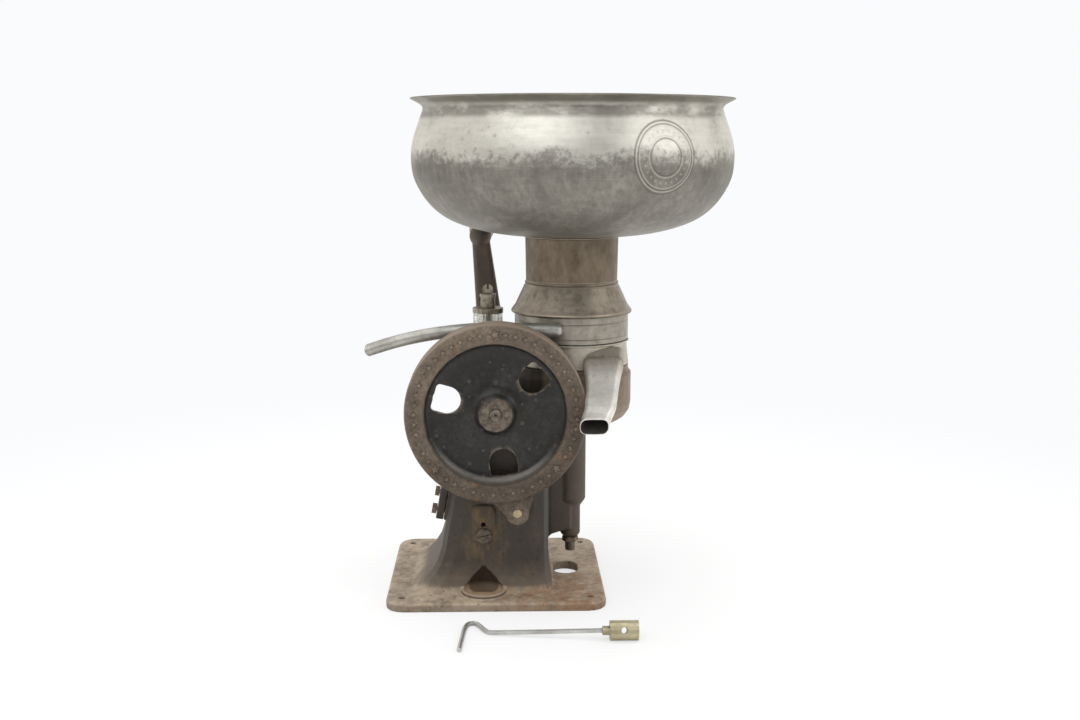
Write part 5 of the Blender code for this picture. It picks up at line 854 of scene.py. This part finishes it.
gearCover = {
    "radius": 0.0896, "depth": 0.0268, "wall": 0.0045, "web": 0.004, "edge": 0.0045, "edgeSteps": 8,
    "sides": 144, "dish": 0.0705, "sink": 0.0095, "hub": 0.0173, "hubSink": 0.001, "flare": 0.0135,
    "fillet": 0.012, "shaft": 0.0063, "bevel": 0.0006,
    # shares of the flare's or fillet's width and of the dish's depth, from the hub out to the dish's wall
    "flareShape": ((0.06, 0.32), (0.16, 0.52), (0.34, 0.74), (0.62, 0.91), (1, 1)),
    "filletShape": ((1, 1), (0.62, 0.95), (0.32, 0.8), (0.12, 0.58)),
    "windowTurns": (164, 42.5, -81.5), "windowIn": 0.036, "windowOut": 0.063, "windowWidth": 0.0275,
    "windowCorner": 0.0036, "windowBack": 0.025, "windowTool": 0.03,
    "lugReach": 0.1025, "lugTurn": -78, "lugRadius": 0.0115, "lugSpread": 1.9, "lugSink": 0.004,
    "lugBevel": 0.0016, "screwHole": 0.0029, "holeFrom": -0.11, "holeTo": -0.06,
    "starTurns": (90, 222, 318), "starReach": 0.0798, "starSize": 0.0068, "starTall": 0.0013,
    "studStep": 7, "studSize": 0.0042, "studTall": 0.001,
    "markWaist": 0.45, "markTop": 0.62, "markSink": 0.0002,
}


def makeStar(size, tall, points):
    # each second corner of a flat plate is drawn in, and the top is made smaller
    waist, top = gearCover["markWaist"], gearCover["markTop"]
    startFresh()
    bpy.ops.mesh.primitive_circle_add(vertices=2 * points, radius=size, fill_type="NGON")
    star = bpy.context.active_object
    pick(star, lambda corner: corner.index % 2 == 1)
    bpy.ops.transform.resize(value=(waist, waist, 1), center_override=(0, 0, 0))
    bpy.ops.mesh.select_all(action="SELECT")
    bpy.ops.mesh.extrude_region_move(TRANSFORM_OT_translate={"value": (0, 0, tall)})
    bpy.ops.transform.resize(value=(top, top, 1))
    return tidyFaces(star)


def faceFront(piece, y, turn=0):
    # turns a plate made lying down and stands it upright, its top towards the camera
    setDown(piece, (0, 0, 0), (0, 0, math.radians(turn)))
    return setDown(piece, (0, y, axes["crankHeight"]), (math.pi / 2, 0, 0))


def coverLine():
    # from the shaft's hole over the hub, dish and rounded edge, then back along the inside
    g = gearCover
    sink, wall, dish, hub, radius = g["sink"], g["wall"], g["dish"], g["hub"], g["radius"]
    quarter = [math.pi / 2 * (1 - i / g["edgeSteps"]) for i in range(g["edgeSteps"] + 1)]
    return [
        (g["shaft"], -g["hubSink"] - 0.0008),
        (g["shaft"] + 0.001, -g["hubSink"]),
        *stepsFrom(hub, -g["hubSink"], ((-0.0022, 0), (-0.0008, -0.0004), (0, -0.0016))),
        *((hub + g["flare"] * out, -sink * down) for out, down in g["flareShape"]),
        *((dish - g["fillet"] * back, -sink * down) for back, down in g["filletShape"]),
        (dish - 0.0003, -sink * 0.34),
        (dish + 0.0005, -sink * 0.16),
        (dish + 0.0014, -0.0004),
        (dish + 0.0026, 0),
        *((radius + g["edge"] * (math.cos(a) - 1), g["edge"] * (math.sin(a) - 1)) for a in quarter),
        (radius, -g["depth"]),
        (radius - wall, -g["depth"]),
        (radius - wall, -wall),
        (dish + wall, -wall),
        (dish, -sink - g["web"] * 0.75),
        (dish - g["edge"], -sink - g["web"]),
        (g["shaft"], -sink - g["web"]),
    ]


def makeLug():
    # a round post for the screw on a root that widens towards the cover
    g = gearCover
    reach, radius, tall = g["lugReach"], g["lugRadius"], g["depth"] - g["lugSink"]
    inner = g["radius"] - g["wall"]
    lug = addRod(radius, (reach, 0, 0), (reach, 0, tall), 64)
    root = addBlock((reach - inner, 2 * radius, tall), ((reach + inner) / 2, 0, tall / 2))
    pick(root, lambda corner: corner.co.x < g["radius"])
    bpy.ops.transform.resize(value=(1, g["lugSpread"], 1), center_override=(0, 0, 0))
    joinWith(lug, root)
    bevelEdges(lug, g["lugBevel"], 3, 50)
    return faceFront(lug, axes["coverBack"], g["lugTurn"])


def makeWindowTool(turn):
    # D-shaped: two small corners towards the rim and a half round towards the hub
    g = gearCover
    half, through = g["windowWidth"] / 2, g["windowTool"]
    length = g["windowOut"] - g["windowIn"] - half
    tool = addPlate(length, 2 * half, (g["windowOut"] - length / 2, 0, 0))
    pick(tool, lambda corner: corner.co.x > g["windowOut"] - g["windowCorner"])
    bpy.ops.mesh.bevel(offset=g["windowCorner"], segments=5, affect="VERTICES")
    bpy.ops.mesh.select_all(action="SELECT")
    bpy.ops.mesh.extrude_region_move(TRANSFORM_OT_translate={"value": (0, 0, through)})
    tidyFaces(tool)
    joinWith(tool, addRod(half, (g["windowIn"] + half, 0, 0), (g["windowIn"] + half, 0, through), 64))
    return faceFront(tool, axes["coverFront"] + g["windowBack"], turn)


def makeGearCover():
    g = gearCover
    middle = (0, axes["coverFront"], axes["crankHeight"])
    cover = turnUp("gearCoverShell", coverLine(), g["sides"], middle, alongY=True)
    joinWith(cover, makeLug())
    for turn in g["windowTurns"]:
        cutWith(cover, makeWindowTool(turn))
    a = math.radians(g["lugTurn"])
    x, z = g["lugReach"] * math.cos(a), axes["crankHeight"] + g["lugReach"] * math.sin(a)
    cutWith(cover, addRod(g["screwHole"], (x, g["holeFrom"], z), (x, g["holeTo"], z), 32))
    bevelEdges(cover, g["bevel"], 2, 48)
    tidyFaces(cover)
    hand(cover, "frame", finishes["cover"], ["gear_cover"], shade=40)


def makeCoverMarks():
    # three stars, and small studs evenly between them
    g = gearCover
    turns = g["starTurns"]
    stars = [(turn, makeStar(g["starSize"], g["starTall"], 5)) for turn in turns]
    studs = []
    for turn, nextTurn in zip(turns, (*turns[1:], turns[0] + 360)):
        spots = round((nextTurn - turn) / g["studStep"]) - 1
        for i in range(1, spots):
            at = turn + (nextTurn - turn) * (i + 0.5) / (spots + 0.5)
            studs.append((at, makeStar(g["studSize"], g["studTall"], 4)))
    for name, look, marks in (("coverStars", "star", stars), ("coverStuds", "stud", studs)):
        for turn, mark in marks:
            a = math.radians(turn)
            setDown(mark, (g["starReach"] * math.cos(a), g["starReach"] * math.sin(a), 0), (0, 0, a))
        ornament = joinAll(name, [mark for turn, mark in marks])
        faceFront(ornament, axes["coverFront"] + g["markSink"])
        hand(ornament, "frame", finishes[look], shade=20)


makeGearCover()
makeCoverMarks()
print("gear cover made")

tank = {
    "foot": 0.365, "height": 0.1372, "radius": 0.1632, "wall": 0.0014, "sides": 160, "hole": 0.0121,
    # shares of the radius and of the height, from the rim down
    "shape": (
        (0.99, 0.9995), (1.0, 0.9985), (0.998, 0.99), (0.981, 0.98), (0.962, 0.968), (0.944, 0.956),
        (0.932, 0.943), (0.926, 0.93), (0.926, 0.915), (0.937, 0.875), (0.962, 0.795), (0.984, 0.715),
        (0.997, 0.64), (1.0, 0.58), (0.998, 0.515), (0.99, 0.45), (0.974, 0.392), (0.95, 0.335),
        (0.919, 0.276), (0.88, 0.22), (0.836, 0.172), (0.785, 0.13), (0.718, 0.092), (0.64, 0.06),
        (0.56, 0.036), (0.48, 0.019), (0.4, 0.008), (0.31, 0.002), (0.2, 0.0),
    ),
}


def makeTank():
    t = tank
    outer = smoothProfile([(t["radius"] * r, t["height"] * z) for r, z in t["shape"]], 3)
    outer.append((t["hole"], 0))
    line = outer + wallLine(outer, t["wall"])
    body = turnUp("tankShell", line, t["sides"], (axes["spindleX"], 0, t["foot"]))
    hand(body, "supply_tank", finishes["tank"], ["tank"], shade=50)


tinware = {"wall": 0.0011, "sides": 128}


def turnTin(name, line, body, look, node):
    # a thin sheet round the spindle's axis
    whole = line + wallLine(line, tinware["wall"])
    shell = turnUp(name, whole, tinware["sides"], (axes["spindleX"], 0, 0))
    hand(shell, body, finishes[look], [node], shade=35)


# steps are (metres out, beads up) from the edge that they shape
chamber = {
    "coneFoot": 0.2857, "coneTop": 0.3157, "neckTop": 0.3647, "foot": 0.0622, "neck": 0.0478,
    "neckFoot": 0.047, "rim": 0.0495, "bead": 0.002, "floorRise": 0.0015, "nozzle": 0.0036,
    "nozzleLength": 0.009, "creamRadius": 0.0586,
    "rimSteps": ((-0.0008, 0), (0, -0.3), (-0.0001, -0.6)),
    "seamSteps": ((0, 1.6), (0.001, 1), (0.0013, 0.4), (0.0006, 0), (0.0012, -0.5), (0.002, -1.1)),
    "footSteps": (
        (-0.0042, 4.2), (-0.0018, 2.6), (-0.0008, 1.8), (0, 1.3), (0.0001, 0.8), (-0.0004, 0.3), (-0.0014, 0),
    ),
}


def makeChamber():
    c = chamber
    bead, floor = c["bead"], c["coneFoot"] + c["floorRise"]
    line = [
        *stepsFrom(c["rim"], c["neckTop"], c["rimSteps"], bead),
        (c["neck"], c["neckTop"] - bead * 1.1),
        *stepsFrom(c["neckFoot"], c["coneTop"], c["seamSteps"], bead),
        *stepsFrom(c["foot"], c["coneFoot"], c["footSteps"], bead),
        (c["creamRadius"] - 0.0024, c["coneFoot"]),
        (c["creamRadius"] - 0.0039, floor),
        (c["nozzle"] + 0.004, floor),
        (c["nozzle"], floor - 0.002),
        (c["nozzle"], floor - c["nozzleLength"]),
    ]
    turnTin("chamberShell", line, "float_chamber", "chamber", "regulating_cover")


covers = {
    "skimFoot": 0.2329, "skimTop": 0.2583, "skimLow": 0.0595, "skimHigh": 0.057, "flange": 0.0025,
    "bead": 0.002, "creamFoot": 0.2586, "creamTop": 0.2854, "cream": 0.0586, "rise": 0.018, "mouth": 0.0165,
    "lip": 0.002, "tin": 0.0012,
    "flangeSteps": ((-0.0006, 0), (0, -0.3), (0, -0.7), (-0.0008, -1)),
    "neckSteps": ((0.0004, -1.2), (0.0003, -2.4)),
    "footSteps": ((-0.0004, 1.6), (0, 0.9), (-0.0004, 0.3)),
    # the cream cover's grooves, in metres both ways
    "topGroove": ((0, 0), (0, -0.006), (-0.0005, -0.0066), (0, -0.0072)),
    "lowGrooves": ((0, 0.0058), (-0.0005, 0.0052), (0, 0.0046), (0, 0.0008), (-0.0005, 0.0002)),
}


def makeCovers():
    c = covers
    floor = ((c["mouth"], c["rise"]), (c["mouth"] - c["tin"], c["rise"] + c["lip"]))
    line = [
        *stepsFrom(c["skimHigh"] + c["flange"], c["skimTop"], c["flangeSteps"], c["bead"]),
        *stepsFrom(c["skimHigh"], c["skimTop"], c["neckSteps"], c["bead"]),
        *stepsFrom(c["skimLow"], c["skimFoot"], c["footSteps"], c["bead"]),
        (c["skimLow"] - c["tin"], c["skimFoot"]),
        *stepsFrom(0, c["skimFoot"], floor),
    ]
    turnTin("skimCoverShell", line, "skim_tin", "skim", "skim_cover")
    line = [
        *stepsFrom(c["cream"], c["creamTop"], c["topGroove"]),
        *stepsFrom(c["cream"], c["creamFoot"], c["lowGrooves"]),
        (c["cream"] - c["tin"], c["creamFoot"]),
        *stepsFrom(0, c["creamFoot"], floor),
    ]
    turnTin("creamCoverShell", line, "cream_tin", "cream", "cream_cover")


makeTank()
makeChamber()
makeCovers()
print("tank, float chamber and covers made")

skimSpout = {
    "wide": 0.0285, "thick": 0.0155, "wall": 0.0011, "corner": 0.4, "steps": 4,
    # place from the cover's foot, shares of width and thickness, and how far the mouth turns down
    "path": (
        (0.03, -0.04, 0.0143, 1.5, 1.14, 14),
        (0.03, -0.048, 0.0124, 1.47, 1.16, 24),
        (0.029, -0.06, 0.0045, 1.4, 1.14, 36),
        (0.0266, -0.078, -0.0105, 1.19, 1.08, 39),
        (0.0232, -0.1015, -0.029, 1.08, 1.02, 39),
        (0.0192, -0.11, -0.037, 1.02, 1.0, 36),
        (0.0163, -0.118, -0.044, 1.0, 1.12, 17),
    ),
}


def wallSpout(spout, look, wall, even):
    # its outside has its own finish, and its inside is painted near black: painted shade
    for key in (look, "spoutInside"):
        spout.data.materials.append(finishes[key])
    settings = {"thickness": wall, "offset": -1, "use_even_offset": even, "material_offset": 1}
    applyModifier(spout, "SOLIDIFY", **settings)


def makeSkimSpout():
    # rounded rectangles along the spout, each square to the flow
    s = skimSpout
    foot = Vector((axes["spindleX"], 0, covers["skimFoot"]))
    rings = []
    for x, y, z, wide, thick, heading in smoothProfile(s["path"], s["steps"]):
        ring = addPlate(s["wide"] * wide, s["thick"] * thick)
        editAll(ring)
        bpy.ops.mesh.bevel(offset=s["thick"] * thick * s["corner"], segments=4, affect="VERTICES")
        bpy.ops.mesh.select_all(action="SELECT")
        bpy.ops.mesh.delete(type="ONLY_FACE")
        startFresh()
        rings.append(setDown(ring, foot + Vector((x, y, z)), (math.radians(90 + heading), 0, 0)))
    spout = bridgeRings("skimSpoutShell", rings)
    wallSpout(spout, "spout", s["wall"], True)
    applyModifier(spout, "SUBSURF", levels=1, render_levels=1)
    hand(spout, "skim_tin", None, ["skim_spout"], shade=40)


creamSpout = {
    "y": -0.0613, "radius": 0.0066, "wall": 0.0011, "tip": 0.94, "cut": 33, "cutRings": 9, "steps": 8,
    "sides": 40,
    "dome": ((0.0, 0.3), (0.06, 0.52), (0.2, 0.76), (0.45, 0.93), (0.8, 1.0)),
    "path": (
        (-0.012, 0.016), (-0.046, 0.0172), (-0.086, 0.0178), (-0.116, 0.016), (-0.146, 0.012),
        (-0.176, 0.0055), (-0.207, -0.004),
    ),
    "room": {"inset": 0.0006, "low": 0.24, "high": 0.3, "sides": 96},  # cut away inside the cover
}


def makeCreamSpout():
    # round rings along the pipe, with a domed start, a slightly drawn-in tip and a mouth cut aslant
    s = creamSpout
    points = smoothProfile(stepsFrom(axes["spindleX"], covers["creamFoot"], s["path"]), s["steps"])
    start, last = points[0], len(points) - 1
    dome = [(start[0] - s["radius"] * a, start[1], share) for a, share in s["dome"]]
    pipe = [(x, z, 1 - (1 - s["tip"]) * i / last) for i, (x, z) in enumerate(points) if x < dome[-1][0]]
    stations = dome + pipe
    rings = []
    for i, (x, z, share) in enumerate(stations):
        before, after = stations[max(i - 1, 0)], stations[min(i + 1, len(stations) - 1)]
        along = Vector((after[0] - before[0], 0, after[1] - before[1])).normalized()
        aslant = math.radians(s["cut"]) * max(0, 1 - (len(stations) - 1 - i) / s["cutRings"])
        startFresh()
        bpy.ops.mesh.primitive_circle_add(vertices=s["sides"], radius=s["radius"] * share)
        ring = bpy.context.active_object
        ring.scale = (1, 1 / math.cos(aslant), 1)
        place = Vector((x, s["y"], z)) - along * s["radius"] * share * math.tan(aslant)
        rings.append(setDown(ring, place, (-aslant, math.atan2(along.x, along.z), 0)))
    spout = bridgeRings("creamSpoutShell", rings, closeStart=True)
    wallSpout(spout, "pipe", s["wall"], False)
    room, x = s["room"], axes["spindleX"]
    tool = addRod(covers["cream"] - room["inset"], (x, 0, room["low"]), (x, 0, room["high"]), room["sides"])
    cutWith(spout, tool)
    hand(spout, "cream_tin", None, ["cream_spout"], shade=35)


makeSkimSpout()
makeCreamSpout()
print("spouts made")

stage = {
    "eye": (0.006, -1.335, 0.4626), "pitch": 9.69, "yaw": 1.72, "roll": 0.1, "lens": 43.333, "sensor": 36,
    "nearest": 0.01,
    "floor": (0.945, 0.94, 0.93), "sky": (0.955, 0.965, 0.985), "daylight": (0.99, 0.965, 0.925),
    "floorRadius": 14, "floorRough": 0.9, "floorShine": 0.1,
    "paper": {"From Min": 0.25, "From Max": 1.1, "To Min": 0.62, "To Max": 1},
    "room": {"From Min": -0.95, "From Max": -0.1, "To Min": 0.2, "To Max": 1},
    "aim": (0.05, 0, 0.25),
    "lamps": {
        "key": {"place": (-0.75, -1.45, 1.75), "size": 2.2, "power": 19},
        "fill": {"place": (1.5, -0.9, 1.1), "size": 1.2, "power": 7},
        "top": {"place": (0.1, 0.3, 2.1), "size": 1.6, "power": 15},
    },
}


def makeCamera():
    s = stage
    camera = bpy.data.objects.new("camera", bpy.data.cameras.new("camera"))
    bpy.context.scene.collection.objects.link(camera)
    camera.data.lens = s["lens"]
    camera.data.sensor_width = s["sensor"]
    camera.data.clip_start = s["nearest"]
    turns = ((-s["yaw"], "Z"), (90 - s["pitch"], "X"), (s["roll"], "Z"))
    yaw, pitch, roll = (Matrix.Rotation(math.radians(degrees), 4, axis) for degrees, axis in turns)
    camera.matrix_world = Matrix.Translation(s["eye"]) @ yaw @ pitch @ roll
    bpy.context.scene.camera = camera


def makeFloor():
    # white paper further off, shadows near the machine
    s = stage
    startFresh()
    bpy.ops.mesh.primitive_circle_add(vertices=96, radius=s["floorRadius"], fill_type="NGON")
    floor = bpy.context.active_object
    floor.name = "floor"
    look = Look("floorPaper")
    floor.data.materials.append(look.finish(colour=s["floor"], rough=s["floorRough"], shine=s["floorShine"]))
    away = look.add("ShaderNodeVectorMath", {"operation": "LENGTH"}, {0: look.place}, "Value")
    fade = look.add("ShaderNodeMapRange", {}, {"Value": away, **s["paper"]})
    share = look.add("ShaderNodeLightPath", {}, {}, "Is Camera Ray") * fade
    glow = look.add("ShaderNodeEmission", {}, {"Color": s["sky"]})
    look.mixed("Material Output", share, Wire(look, look.shader.outputs[0]), glow)


def makeWorld():
    # the room in front of the machine is dimmer than the paper round it
    s = stage
    world = bpy.data.worlds.new("studio")
    bpy.context.scene.world = world
    air = Graph(world)
    x, y, z = air.split(air.add("ShaderNodeTexCoord", {}, {}, "Generated"))
    dim = air.add("ShaderNodeMapRange", {}, {"Value": y, **s["room"]})
    soft = air.add("ShaderNodeBackground", {}, {"Color": s["daylight"], "Strength": dim})
    seen = air.add("ShaderNodeBackground", {}, {"Color": s["sky"], "Strength": 1})
    air.mixed("World Output", air.add("ShaderNodeLightPath", {}, {}, "Is Camera Ray"), soft, seen)


def makeLamps():
    for name, values in stage["lamps"].items():
        lamp = bpy.data.objects.new(name, bpy.data.lights.new(name, "AREA"))
        bpy.context.scene.collection.objects.link(lamp)
        lamp.data.shape = "DISK"
        lamp.data.size = values["size"]
        lamp.data.energy = values["power"]
        lamp.location = values["place"]
        toward = Vector(stage["aim"]) - lamp.location
        lamp.rotation_mode = "QUATERNION"
        lamp.rotation_quaternion = toward.to_track_quat("-Z", "Y")


makeCamera()
makeFloor()
makeWorld()
makeLamps()
bpy.context.scene.view_settings.view_transform = "Standard"
print("stage set")
